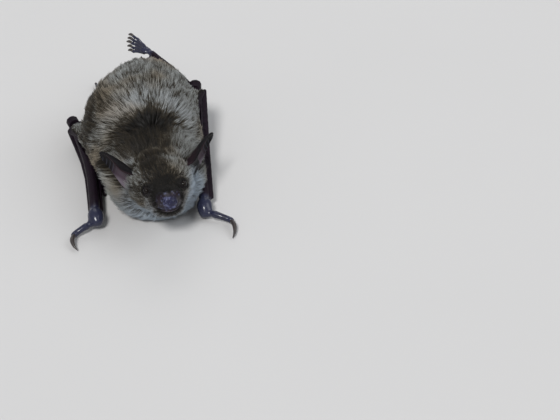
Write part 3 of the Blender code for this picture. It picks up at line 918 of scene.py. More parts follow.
def skin_grain():
    """Fine creases and pores of bare skin, as a height."""
    group, given, out = socket_group(
        "skin_grain",
        (("Vector", "Place", None), ("Float", "Crease size", 1.0), ("Float", "Pore size", 1.0)),
        (("Float", "Height"), ("Float", "Worn")),
    )
    sheet = Sheet(group)
    place = given.outputs["Place"]
    creases = sheet.node(
        "ShaderNodeTexVoronoi",
        {"Vector": place, "Scale": sheet.times(given.outputs["Crease size"], 1900.0)},
        feature="DISTANCE_TO_EDGE",
    ).outputs["Distance"]
    creases = sheet.within(creases, 0.0, 0.28)
    pores = sheet.noise(place, sheet.times(given.outputs["Pore size"], 5200.0), 2.0)
    broad = sheet.noise(place, 700.0, 3.0, 0.6)
    height = sheet.sum(sheet.times(creases, 0.5), (pores, 0.35), (broad, 0.7), clamp=False)
    group.links.new(height, out.inputs["Height"])
    group.links.new(broad, out.inputs["Worn"])
    return group


def fur_material(settings, marks_and_shade_group):
    material, sheet, shader, place = new_material("bat_fur")
    lie = sheet.node("ShaderNodeUVMap", uv_map="Lie").outputs[0]
    chance, up, _ = sheet.node("ShaderNodeSeparateXYZ", {0: lie}).outputs
    colours = {
        "Root": tuple(settings.root_colour),
        "Middle": tuple(settings.middle_colour),
        "Tip": tuple(settings.tip_colour),
        "Warm tip": tuple(settings.warm_colour),
        "Pale tip": tuple(settings.pale_colour),
    }
    fur = sheet.use(marks_and_shade_group, {"Place": place, "Up the hair": up, "Chance": chance, **colours})
    sheet.link(fur.outputs[0], shader.inputs["Base Color"])
    shader.inputs["Roughness"].default_value = 0.5
    shader.inputs["Specular IOR Level"].default_value = 0.18
    return material


WORN_WING = (0.008, 0.005, 0.008)
MUZZLE, WORN_MUZZLE = (0.013, 0.007, 0.011), (0.006, 0.004, 0.007)
# Painted highlights: pale bluish specks on the wet glands of the muzzle.
PAINTED_GLAND_HIGHLIGHTS = (0.125, 0.135, 0.25)
LIPS = (0.13, 0.10, 0.115)
LIDS = (0.005, 0.004, 0.005)
# The first colour is painted shade: the dark red inside the ear above the lobe.
EAR_INSIDE_SHADE, EAR_LINES, EAR_RIM = (0.022, 0.010, 0.014), (0.085, 0.09, 0.115), (0.20, 0.17, 0.20)
GRAIN_DEPTH = 0.00004  # of the creases and pores, in metres


def muzzle_colour(sheet, place, worn, glands, nose):
    """The dark muzzle, with the nose, painted highlights on the glands, the pale lips and the lids laid over
    it.
    """
    muzzle = sheet.mix(sheet.within(worn, 0.35, 0.7), MUZZLE, WORN_MUZZLE)
    # painted highlights: pale bluish specks on the glands stand in for reflections on the wet skin
    painted_highlights = sheet.within(sheet.noise(place, 1300.0, 2.0), 0.5, 0.7)
    pad = sheet.near(place, from_head(12.6, 0.0, -0.1), 2.5)
    lip = sheet.near(place, from_head(9.6, 0.0, -3.1), 2.3, (1.0, 0.7, 1.0))
    muzzle = sheet.layered(
        muzzle,
        (pad, 0.8, nose),
        (sheet.times(glands, painted_highlights), 0.65, PAINTED_GLAND_HIGHLIGHTS),
        (lip, 0.8, LIPS),
    )
    for eye in EYES:
        muzzle = sheet.mix(sheet.near(place, node_middle(eye), 2.4), muzzle, LIDS)
    return muzzle


def ear_colouring(sheet, inside, reach, lower, lobe, outer, inner):
    """Dark outside; inside, painted shade towards the base above the lobe, a lighter lower lobe with a pale
    rim, and fine lines across.
    """
    lines = sheet.maths("SINE", sheet.times(reach, 2 * math.pi * EAR_RIDGES))
    lines = sheet.times(sheet.within(lines, 0.6, 1.0), sheet.within(reach, 0.58, 0.7))
    lines = sheet.times(lines, sheet.within(lower, 0.5, 0.62))
    rim = sheet.times(sheet.within(lower, 0.86, 0.97), lobe)
    # painted shade: dark red inside the ear towards its base, where shade falls
    shaded_inside = sheet.mix(sheet.within(reach, 0.8, 0.5), outer, EAR_INSIDE_SHADE)
    colour = sheet.layered(sheet.mix(lobe, shaded_inside, inner), (lines, 0.4, EAR_LINES), (rim, 0.6, EAR_RIM))
    return sheet.mix(inside, outer, colour)


def skin_material(settings, marks_and_shade_group, grain):
    """Bare skin on face, ears and wings, and the dull skin under the coat."""
    material, sheet, shader, place = new_material("bat_skin")
    bare, face, hand = sheet.three("bareness")
    ear, reach, lower = sheet.three("ears")
    inside = sheet.three("ear_sides")[0]
    grains = sheet.use(grain, {"Place": place, "Crease size": 1.9, "Pore size": 1.0})
    worn = grains.outputs["Worn"]
    glands = sheet.near(place, from_head(11.4, 0.0, 0.2), 4.2)
    lobe = sheet.times(sheet.within(reach, 0.8, 0.5), sheet.within(lower, 0.5, 0.8))
    wing = sheet.mix(sheet.within(worn, 0.3, 0.75), tuple(settings.wing_colour), WORN_WING)
    wing = sheet.layered(wing, (hand, 0.85, tuple(settings.hand_colour)))
    muzzle = muzzle_colour(sheet, place, worn, glands, tuple(settings.face_colour))
    outer, inner = tuple(settings.ear_colour), tuple(settings.inner_ear_colour)
    ears = ear_colouring(sheet, inside, reach, lower, lobe, outer, inner)
    hidden = sheet.use(marks_and_shade_group, {"Place": place, "Up the hair": 0.2, "Chance": 0.5}).outputs[0]
    colour = sheet.mix(ear, sheet.mix(face, wing, muzzle), ears)
    sheet.link(sheet.mix(bare, hidden, colour), shader.inputs["Base Color"])
    rough = sheet.sum(0.62, (sheet.maths("SUBTRACT", worn, 0.5), -0.4), (bare, -0.14), clamp=False)
    sheet.link(rough, shader.inputs["Roughness"])
    shader.inputs["Specular IOR Level"].default_value = 0.08
    wet = sheet.sum(sheet.times(glands, 0.4), (hand, 0.75), (sheet.times(lobe, ear), 0.5))
    sheet.link(sheet.times(wet, bare), shader.inputs["Coat Weight"])
    shader.inputs["Coat Roughness"].default_value = 0.22
    relief = {"Height": grains.outputs["Height"], "Distance": GRAIN_DEPTH, "Strength": 0.7}
    sheet.link(sheet.node("ShaderNodeBump", relief).outputs[0], shader.inputs["Normal"])
    return material


# ---------------------------------------------------------------- the coat


def lie_of_coat(points):
    """Which way hairs lie: away from the nose over head and throat, out from the nape, then to the tail."""
    from_nose = unit(points - from_head(13.0, 0.0, -0.5))
    side = np.tanh((points[:, :1] - 1.2) / 6.0)
    low = ramp(points[:, 2:], 16.0, 5.0)
    backward = unit(np.hstack([0.20 * side, np.ones_like(side), -0.45 * low]))
    over_head = ramp(distance(points, SKULL), 13.0, 8.0)[:, None]
    from_nape = unit(points - (NAPE + (0.0, 0.5, -4.5)))
    at_nape = bump(points, NAPE + (0.0, 2.0, -1.0), 22.0)[:, None] * (1 - over_head)
    backward = backward * (1 - over_head) * (1 - 0.9 * at_nape)
    return unit(from_nose * over_head + backward + from_nape * 1.5 * at_nape)


def spread_roots(points, faces, weight, count, rng):
    """Random places on a mesh, more of them where the weight is greater, and the normals there."""
    normals = point_normals(points, faces)
    area = np.linalg.norm(face_normals(points, faces), axis=1) / 2
    share = area * weight[faces].mean(1)
    corners = faces[rng.choice(len(faces), count, p=share / share.sum())]
    mix = rng.dirichlet((1, 1, 1), count)
    places = np.einsum("nk,nkd->nd", mix, points[corners])
    return places, unit(np.einsum("nk,nkd->nd", mix, normals[corners]))


def nearest_on(tree, points):
    """The nearest place on a shape to each point, and the shape's normal there."""
    found = [tree.find_nearest(point)[:2] for point in points.tolist()]
    return np.array([place for place, _ in found]), np.array([normal for _, normal in found])


CREASE_FILL = 2.4  # how far the furred solids are swollen and shrunk again, which fills the creases
GUARD_SHARE, GUARD_RISE = 0.12, 1.2  # stray hairs, and how far their tips may stand off the coat
SHORTEST, LONGER, DEEPEST = 0.85, 1.95, 3.6  # a hair's length grows with the coat's depth, up to a depth
SPREAD_OF_LENGTHS = (0.78, 1.1)
PARTED = 8.5  # how far round the nape the hairs stand more upright
FULL_DEPTH = 2.2  # where the coat is this deep, its tips are as loose as they get


def coat_surface():
    """Where the tips of the coat end: the furred solids, with their creases filled as fur fills them."""
    shapes = [grown(node_shape(name), CREASE_FILL) for name in FURRED + JAWS]
    points, faces = voxel_skin(shapes, FLESH_VOXEL)
    points = relaxed(points, edge_pairs(faces), 12)
    return search_tree(points - point_normals(points, faces) * CREASE_FILL, faces)


def hair_curves(roots, normals, outer, rng, settings):
    """The coat's depth at each hair, the hair's bend and its tip, and how far the tip stands off the coat."""
    depth = distance(nearest_on(outer, roots)[0], roots)
    length = SHORTEST + LONGER * np.minimum(depth, DEEPEST)
    length = length * rng.uniform(*SPREAD_OF_LENGTHS, len(roots)) * settings.length_scale
    upright = bump(roots, NAPE, PARTED)
    way = lie_of_coat(roots) + rng.normal(0, settings.disorder, roots.shape)
    way = unit(way - normals * (way * normals).sum(1, keepdims=True))
    height = np.minimum(depth, 0.75 * length)
    reach = np.sqrt(np.maximum(length**2 - height**2, 0.04)) * (1 - 0.5 * upright)
    aim = roots + normals * height[:, None] + way * reach[:, None]
    on_coat, away = nearest_on(outer, aim)
    loose = np.minimum(1.0, depth / FULL_DEPTH)
    off = rng.normal(-0.05, settings.looseness, len(roots)) * loose + 0.06 * (1 - loose)
    rise = GUARD_RISE * loose * rng.uniform(0, 1, len(roots))
    off += rise * (rng.uniform(0, 1, len(roots)) < GUARD_SHARE)
    tips = on_coat + away * off[:, None]
    bends = roots + normals * (height * 1.03 + off * 0.9)[:, None] + way * (reach * 0.25)[:, None]
    return depth, bends, tips, off


def clumped(roots, bends, tips, chance, share, pull, rng):
    """Draws neighbouring tips together into locks, whose number is a share of the hairs."""
    count = len(roots)
    guides = rng.choice(count, max(8, int(count * share)), replace=False)
    tree = KDTree(len(guides))
    places = roots * LOCK_STRETCH
    for k, guide in enumerate(guides):
        tree.insert(places[guide], k)
    tree.balance()
    mine = guides[np.array([tree.find(place)[1] for place in places.tolist()])]
    drawn = (pull * rng.uniform(0.75, 1.0, count))[:, None]
    offset = roots - roots[mine]
    tips = tips + (tips[mine] + offset * 0.2 - tips) * drawn
    bends = bends + (bends[mine] + offset * 0.7 - bends) * drawn * 0.6
    return bends, tips, chance + (chance[mine] - chance) * 0.5 * pull


MAP_MARGIN, MAP_SHARE = 0.02, 0.95  # the unwrap is kept off the borders of its map
# The axes round which the coat of head and body is unwrapped.
HEAD_AXIS = (from_head(13.0, 0.0, 0.0), from_head(-12.0, 0.0, 0.0))
BODY_AXIS = (np.array((2.0, -30.0, 8.0)), np.array((2.0, 20.0, 8.0)))


def unwrapped(points, start, end):
    """An unwrap of the skin round an axis: the turn about it and the way along it, both from 0 to 1."""
    axis = unit(end - start)
    along = (points - start) @ axis / np.linalg.norm(end - start)
    side = unit(np.cross(axis, (0.0, 0.0, 1.0)))
    top = np.cross(side, axis)
    away = points - start
    turn = np.arctan2(away @ side, -(away @ top)) / (2 * math.pi) + 0.5
    spread = np.stack([turn, along], 1)
    return np.clip(MAP_MARGIN + MAP_SHARE * spread, 0.0, 0.99)


# For each level of locks: their share of the hairs, and how far tips are drawn together.
BODY_LOCKS = ((0.007, 0.35), (0.04, 0.5), (0.14, 0.75))
HEAD_LOCKS = ((0.015, 0.3), (0.07, 0.5), (0.2, 0.75))
BODY_HOLD, NAPE_HOLD = 0.88, 0.12  # how well the locks of the body hold, and how much better on the nape
HEAD_HAIR_WIDTH = 0.72  # of a body hair's width
BODY_STEPS, HEAD_STEPS = 4, 3  # the straight lengths in a hair
LOOSE_PALER, SHORT_PALER = 0.3, 0.22  # more of a hair is pale where it stands off, and where it is short
LOCK_STRETCH = (1.0, 0.5, 1.0)  # locks are longer than wide, along the body
PATCH = 0.003  # how wide each hair's patch is on the unwrapped skin
BLADE_ROLL = 0.55  # how far blades turn about their length, in radians
BLADE_FOOT, BLADE_SWELL, BLADE_POINT = 0.8, 0.5, 2.2  # widest a third of the way up, and pointed
ROOT_SINK = 0.12  # how deep a blade's foot stands in the skin
ABOVE_FLOOR = 0.02  # the lowest that a hair or a toe's claw may reach


def hair_mesh(name, hairs, steps, rng, axis, material):
    """One mesh of thin tapered blades, each a flat strip along its hair."""
    roots, bends, tips, normals, width, chance = hairs
    count = len(roots)
    roll = rng.normal(0, BLADE_ROLL, count)[:, None]
    rows = []
    for t in np.linspace(0, 1, steps + 1):
        place = roots * (1 - t) ** 2 + bends * 2 * t * (1 - t) + tips * t**2
        along = unit((bends - roots) * (1 - t) + (tips - bends) * t)
        side = unit(np.cross(along, normals))
        side = unit(side * np.cos(roll) + np.cross(along, side) * np.sin(roll))
        if t == 0:
            place = place - normals * ROOT_SINK
        half = (width / 2 * (BLADE_FOOT + BLADE_SWELL * t) * (1 - t**BLADE_POINT))[:, None]
        rows += [place + side * half, place - side * half] if t < 1 else [place]
    points = np.stack(rows, 1)
    points[..., 2] = np.maximum(points[..., 2], ABOVE_FLOOR)
    corners = 2 * steps + 1
    strip = []
    for k in range(steps - 1):
        a = 2 * k
        strip += [(a, a + 1, a + 3), (a, a + 3, a + 2)]
    strip.append((2 * steps - 2, 2 * steps - 1, 2 * steps))
    faces = (np.array(strip)[None] + (np.arange(count) * corners)[:, None, None]).reshape(-1, 3)
    made = mesh_object(name, points.reshape(-1, 3), faces, material)
    home = unwrapped(roots, *axis)
    level = np.array([k // 2 / steps for k in range(corners)])
    across = np.array([k % 2 for k in range(corners - 1)] + [0.5])
    bake = home[:, None] + np.stack([across, level], 1)[None] * PATCH
    lie = np.stack(np.broadcast_arrays(chance[:, None], level), 2)
    for label, values in (("OFBake", bake), ("Lie", lie)):
        layer = made.data.uv_layers.new(name=label)
        layer.data.foreach_set("uv", values.reshape(-1, 2)[faces.ravel()].astype(np.float32).ravel())
    return made


# ---------------------------------------------------------------- the whole skin


def joined_skin(head, body, triangles):
    """Head and body as one closed skin in triangles, thinned evenly by its curvature."""
    first, second = simple_object("head_skin", *head), simple_object("body_skin", *body)
    join = first.modifiers.new("join", "BOOLEAN")
    join.operation, join.solver, join.object = "UNION", "MANIFOLD", second
    whole = evaluated(first)
    first.modifiers.clear()
    first.data = whole
    count = sum(len(face.vertices) - 2 for face in whole.polygons)
    thin = first.modifiers.new("thin", "DECIMATE")
    thin.ratio = triangles / count
    made = evaluated(first)
    for holder in (first, second):
        bpy.data.objects.remove(holder)
    return mesh_points(made).astype(float), mesh_triangles(made)


def ear_shapes():
    return [make(side) for side in SIDES for make in (ear_shape, tragus_shape)]


def coat_cover(points):
    """How thickly hair grows on the skin: 1 in the coat and 0 on bare skin."""
    limbs = [name for name in BARE + CLAWS if not name.startswith(("ear", "tragus", "foot", *JAWS))]
    shapes = [node_shape(name) for name in limbs]
    for side in SIDES:
        shapes += foot_shapes(side)
    cover = ramp(gap_to(points, shapes), 0.5, 1.6)
    cover *= ramp(gap_to(points, ear_shapes()), 0.35, 1.0)
    forward, _, up = in_head(points).T
    face = ramp(forward - 0.2 * np.clip(up, -1, 3) + 0.25 * np.clip(-up - 2.0, 0, 3), 10.8, 8.4)
    for eye in EYES:
        face *= ramp(distance(points, node_middle(eye)), 0.95, 1.5)
    return np.where(distance(points, MIDDLE_OF_HEAD) < 13, cover * face, cover)


def ear_masks(points, faces):
    """Four masks for the skin: on an ear, on its inner side, how far along it, and how low across it."""
    normals = point_normals(points, faces)
    inside, reach, lower = (np.zeros(len(points)) for _ in range(3))
    for side in SIDES:
        base, along, opens, across = ear_frame(side)
        away = points - base
        near = np.linalg.norm(away, axis=1) < EAR_LENGTH + 3
        down = across * (-1.0 if across @ HEAD_UP > 0 else 1.0)
        inside = np.where(near, ramp(normals @ opens, -0.1, 0.5), inside)
        reach = np.where(near, np.clip(away @ along / EAR_LENGTH, 0, 1), reach)
        lower = np.where(near, np.clip(0.5 + away @ down / (2 * EAR_HALF_WIDTH[side]), 0, 1), lower)
    return ramp(gap_to(points, ear_shapes()), 0.7, 0.25), inside, reach, lower


def colour_layer(piece, name, red, green, blue):
    """A colour for each point, which a material reads as three masks."""
    layer = piece.data.color_attributes.new(name=name, type="FLOAT_COLOR", domain="POINT")
    values = np.stack([red, green, blue, np.ones_like(red)], 1).astype(np.float32)
    layer.data.foreach_set("color", values.ravel())


# ---------------------------------------------------------------- pieces

MADE = {}  # the skin that coat and whiskers grow from, once it is made


def finish_piece(piece, slot, *nodes):
    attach(piece, "root")
    if nodes:
        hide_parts(*nodes)


def made_skin():
    """The skin's points and faces, and how thickly hair grows on it."""
    if "skin" not in MADE:
        raise RuntimeError("make the skin first")
    return MADE["skin"]


def shared(name, make):
    """A shader group, built once."""
    return bpy.data.node_groups.get(name) or make()


class BatSkinSettings(bpy.types.PropertyGroup):
    wing_colour: FloatVectorProperty(
        name="Wing", description="Forearms, fingers and membranes", subtype="COLOR", size=3,
        default=(0.014, 0.008, 0.014), min=0, max=1,
    )
    hand_colour: FloatVectorProperty(
        name="Hand", description="Wrists, thumbs and feet", subtype="COLOR", size=3,
        default=(0.020, 0.023, 0.052), min=0, max=1,
    )
    face_colour: FloatVectorProperty(
        name="Face", description="Muzzle and nose", subtype="COLOR", size=3,
        default=(0.017, 0.018, 0.050), min=0, max=1,
    )
    ear_colour: FloatVectorProperty(
        name="Ear", description="Ears, outside and at the rim", subtype="COLOR", size=3,
        default=(0.005, 0.004, 0.005), min=0, max=1,
    )
    inner_ear_colour: FloatVectorProperty(
        name="Inner ear", description="Inside of the ears and the leaf before them", subtype="COLOR", size=3,
        default=(0.055, 0.036, 0.050), min=0, max=1,
    )
    triangles: IntProperty(
        name="Triangles", description="How fine the skin is", default=190000, min=1000, max=199000
    )


class BatCoatSettings(bpy.types.PropertyGroup):
    root_colour: FloatVectorProperty(
        name="Root", description="Foot of each hair", subtype="COLOR", size=4,
        default=(0.008, 0.007, 0.006, 1.0), min=0, max=1,
    )
    middle_colour: FloatVectorProperty(
        name="Middle", description="Middle of each hair", subtype="COLOR", size=4,
        default=(0.046, 0.036, 0.023, 1.0), min=0, max=1,
    )
    tip_colour: FloatVectorProperty(
        name="Tip", description="Tip of each hair", subtype="COLOR", size=4,
        default=(0.285, 0.295, 0.285, 1.0), min=0, max=1,
    )
    warm_colour: FloatVectorProperty(
        name="Warm tip", description="Tips in the browner patches", subtype="COLOR", size=4,
        default=(0.24, 0.19, 0.125, 1.0), min=0, max=1,
    )
    pale_colour: FloatVectorProperty(
        name="Pale tip", description="Tips on throat and ruff", subtype="COLOR", size=4,
        default=(0.40, 0.46, 0.52, 1.0), min=0, max=1,
    )
    body_hairs: IntProperty(name="Body hairs", description="Hairs on body and limbs", default=118000, min=100)
    head_hairs: IntProperty(name="Head hairs", description="Hairs on head and throat", default=84000, min=100)
    hair_width: FloatProperty(name="Hair width", description="Of a body hair, in mm", default=0.13, min=0.01)
    length_scale: FloatProperty(
        name="Length", description="Length of all hairs for the coat's depth", default=1.0, min=0.1
    )
    disorder: FloatProperty(
        name="Disorder", description="How far hairs stray from the lie of the coat", default=0.2, min=0
    )
    looseness: FloatProperty(
        name="Looseness", description="How far tips stand off the coat's surface, in mm", default=0.38, min=0
    )
    clumping: FloatProperty(
        name="Clumping", description="How far tips draw together", default=1.0, min=0, max=1
    )
    seed: IntProperty(name="Seed", description="Picks another set of hairs", default=7)


class BatWhiskerSettings(bpy.types.PropertyGroup):
    length: FloatProperty(name="Length", description="Of the longest whisker", default=0.0042, unit="LENGTH")
    thickness: FloatProperty(name="Thickness", description="At the root", default=0.00006, unit="LENGTH")
    seed: IntProperty(name="Seed", description="Picks another set of whiskers", default=3)


class BatStageSettings(bpy.types.PropertyGroup):
    floor_colour: FloatVectorProperty(
        name="Floor", description="Plain floor", subtype="COLOR", size=3,
        default=(0.62, 0.61, 0.60), min=0, max=1,
    )
    key_strength: FloatProperty(
        name="Key light", description="Strength of the main light", default=2.2, min=0
    )
    fill_strength: FloatProperty(
        name="Fill light", description="Strength of the light opposite", default=0.8, min=0
    )
    sky_strength: FloatProperty(name="Sky", description="Even light from all round", default=0.35, min=0)


class BAT_OT_skin(bpy.types.Operator):
    """Makes the one skin of head, body, wings and tail"""

    bl_idname = "bat.skin"
    bl_label = "Skin"

    def execute(self, context):
        settings = context.scene.bat_skin
        flesh = make_flesh()
        head, body = make_head_skin(flesh), make_body_skin(flesh)
        points, faces = joined_skin(head, body, settings.triangles)
        marks_and_shade_group, grain = shared("coat_marks_and_shade", coat_marks_and_shade), shared("skin_grain", skin_grain)
        skin = mesh_object("bat_skin", points, faces, skin_material(settings, marks_and_shade_group, grain))
        cover = coat_cover(points)
        forward = in_head(points)[:, 0]
        face = ramp(forward, 1.0, 4.5) * (distance(points, SKULL) < 16)
        hands = [node_shape(name) for name in BARE + CLAWS if name.startswith(("wrist", "thumb", "foot"))]
        hand = ramp(gap_to(points, hands), 1.6, 0.3)
        colour_layer(skin, "bareness", 1 - cover, face, hand)
        ear, inside, reach, lower = ear_masks(points, faces)
        colour_layer(skin, "ears", ear, reach, lower)
        colour_layer(skin, "ear_sides", inside, inside, inside)
        MADE["skin"] = (points, faces, cover)
        finish_piece(skin, "skin_wing", *FURRED, *BARE)
        return {"FINISHED"}


BEHIND_FACE = from_head(2.0, 0.0, 0.0)
HEAD_RADIUS = 10.5  # of the head's pieces of coat, round the place behind the face
FACE_START, THROAT_TOP = 3.2, -1.0  # forward and up in the head's own directions
NAPE_END, SHOULDER_END, BACK_END, MIDLINE = -12.0, -1.0, 8.0, 2.0  # along Y, and the last along X


def coat_region(roots, on_head):
    """The name of the piece of coat that each hair belongs to."""
    forward, _, up = in_head(roots).T
    along = roots[:, 1]
    head = np.where(forward > FACE_START, "face", np.where(up < THROAT_TOP, "throat", "crown"))
    body = np.where(along < SHOULDER_END, "shoulder", np.where(along < BACK_END, "back", "rump"))
    names = np.where(along < NAPE_END, "nape", body)
    if on_head:
        names = np.where(distance(roots, BEHIND_FACE) < HEAD_RADIUS, head, names)
    fine = np.where((names == "nape") & on_head, "_fine", "")
    side = np.where(roots[:, 0] > MIDLINE, "_left", "_right")
    return np.char.add(np.char.add("coat_", names), np.char.add(side, fine))


def clear_of(tree, roots, bends, tips):
    """True for each hair that doesn't cut through a shape."""
    clear = np.ones(len(roots), bool)
    for k in range(len(roots)):
        for start, end in ((roots[k], bends[k]), (bends[k], tips[k])):
            way = end - start
            length = math.sqrt(way @ way)
            if clear[k] and tree.ray_cast(start, way, length)[0] is not None:
                clear[k] = False
    return clear


def over_ears(tips):
    """True for each hair whose tip would lie across an ear's opening."""
    over = np.zeros(len(tips), bool)
    for side in SIDES:
        base, along, opens, _ = ear_frame(side)
        for share, radius in ((0.05, 1.2), (0.25, 1.8), (0.45, 2.0)):
            mouth = base + along * EAR_LENGTH * share + opens * 1.6
            over |= distance(tips, mouth) < radius
    return over


class BAT_OT_coat(bpy.types.Operator):
    """Grows the coat from the skin, in pieces by region"""

    bl_idname = "bat.coat"
    bl_label = "Coat"

    def execute(self, context):
        points, faces, cover = made_skin()
        settings = context.scene.bat_coat
        rng = np.random.default_rng(settings.seed)
        material = fur_material(settings, shared("coat_marks_and_shade", coat_marks_and_shade))
        outer = coat_surface()
        near_head = ramp(distance(points, BEHIND_FACE), 12.0, 9.5)
        wings = [node_shape(name) for name in BARE if name.startswith(("forearm", "finger", "wrist"))]
        thin = search_tree(*together(ear_shapes() + wings))
        fine = settings.hair_width * HEAD_HAIR_WIDTH
        for on_head, count, steps, width, locks, axis in (
            (False, settings.body_hairs, BODY_STEPS, settings.hair_width, BODY_LOCKS, BODY_AXIS),
            (True, settings.head_hairs, HEAD_STEPS, fine, HEAD_LOCKS, HEAD_AXIS),
        ):
            weight = cover * (near_head if on_head else 1 - near_head)
            roots, normals = spread_roots(points, faces, weight, count, rng)
            depth, bends, tips, off = hair_curves(roots, normals, outer, rng, settings)
            chance = rng.uniform(0, 1, len(roots)) + LOOSE_PALER * off
            if not on_head:
                chance += SHORT_PALER * ramp(depth, 1.9, 0.6)
            chance = np.clip(chance, 0, 1)
            hold = 1.0 if on_head else BODY_HOLD + NAPE_HOLD * bump(roots, NAPE, 16.0)
            for share, pull in locks:
                pull = settings.clumping * pull * hold
                bends, tips, chance = clumped(roots, bends, tips, chance, share, pull, rng)
            blocked = ~clear_of(thin, roots, bends, tips)
            for part in (bends, tips):
                part[blocked] += (roots[blocked] - part[blocked]) * 0.5
            clear = ~blocked
            clear[blocked] = clear_of(thin, roots[blocked], bends[blocked], tips[blocked])
            clear &= ~over_ears(tips)
            widths = width * rng.uniform(0.7, 1.2, clear.sum()) * (0.55 + 0.45 * ramp(depth[clear], 0.2, 2.0))
            hairs = [part[clear] for part in (roots, bends, tips, normals)] + [widths, chance[clear]]
            region = coat_region(hairs[0], on_head)
            for name in sorted(set(region)):
                mine = [part[region == name] for part in hairs]
                finish_piece(hair_mesh(name, mine, steps, rng, axis, material), "fur_brown")
        return {"FINISHED"}


EYE_BLACK, EYE_BROWN = (0.004, 0.003, 0.003), (0.012, 0.008, 0.006)
DARK_CLAW, PALE_CLAW = (0.012, 0.010, 0.012), (0.075, 0.062, 0.055)
DARK_WHISKER, PALE_WHISKER = (0.015, 0.012, 0.012), (0.11, 0.10, 0.10)
EYE_BULGE = 0.1  # how far the front of the eye stands out
CLAW_FLATNESS = 1.25  # its height for its width
THUMB_CLAW_RADII = (0.42, 0.5, 0.34, 0.07)
TOE_CLAW_RADII = (0.3, 0.32, 0.17, 0.04)


def eye_material():
    material, sheet, shader, place = new_material("bat_eye")
    speckle = sheet.noise(place, 2500.0, 2.0)
    sheet.link(sheet.mix(speckle, EYE_BLACK, EYE_BROWN), shader.inputs["Base Color"])
    shader.inputs["Roughness"].default_value = 0.05
    shader.inputs["Specular IOR Level"].default_value = 0.2
    return material


def claw_material():
    material, sheet, shader, place = new_material("bat_claw")
    streaks = sheet.noise(place, 3000.0, 3.0, 0.6, stretch=(1.0, 0.25, 1.0))
    sheet.link(sheet.mix(streaks, DARK_CLAW, PALE_CLAW), shader.inputs["Base Color"])
    sheet.link(sheet.sum(0.22, (streaks, 0.2), clamp=False), shader.inputs["Roughness"])
    return material


class BAT_OT_eyes(bpy.types.Operator):
    """Makes the two glossy eyes"""

    bl_idname = "bat.eyes"
    bl_label = "Eyes"

    def execute(self, context):
        material = eye_material()
        for side in SIDES:
            name, gaze = "eye_" + side, gaze_of(side)
            low, high = node_box(name)
            radius = float(np.mean(high - low)) / 2 * EYE_SCALE
            ball = bmesh.new()
            bmesh.ops.create_icosphere(ball, subdivisions=5, radius=radius)
            points, faces = taken(ball)
            points = points + gaze * (EYE_BULGE * ramp(points @ gaze, radius * 0.4, radius))[:, None]
            piece = mesh_object("bat_" + name, points + (low + high) / 2, faces, material)
            finish_piece(piece, "eye_black", name)
        return {"FINISHED"}


def claw_shape(path, radii):
    return tube(path, radii, 22, 12, CLAW_FLATNESS)


class BAT_OT_claws(bpy.types.Operator):
    """Makes the hooked claws of thumbs and toes"""

    bl_idname = "bat.claws"
    bl_label = "Claws"

    def execute(self, context):
        material = claw_material()
        for side in SIDES:
            shape = claw_shape(THUMB_CLAWS[side], THUMB_CLAW_RADII)
            piece = mesh_object("bat_thumb_claw_" + side, *shape, material)
            finish_piece(piece, "claw", "thumb_claw_" + side)
            claws = []
            for number in range(TOES):
                _, _, pad, arch, tip = toe_path(side, number)
                end = tip + (tip - arch) * 0.15 + np.array((0, 0, -0.12))
                claws.append(claw_shape((pad + (arch - pad) * 0.1, arch, tip, end), TOE_CLAW_RADII))
            points, faces = together(claws)
            points[:, 2] = np.maximum(points[:, 2], ABOVE_FLOOR)
            piece = mesh_object("bat_toe_claws_" + side, points, faces, material)
            finish_piece(piece, "claw")
        return {"FINISHED"}


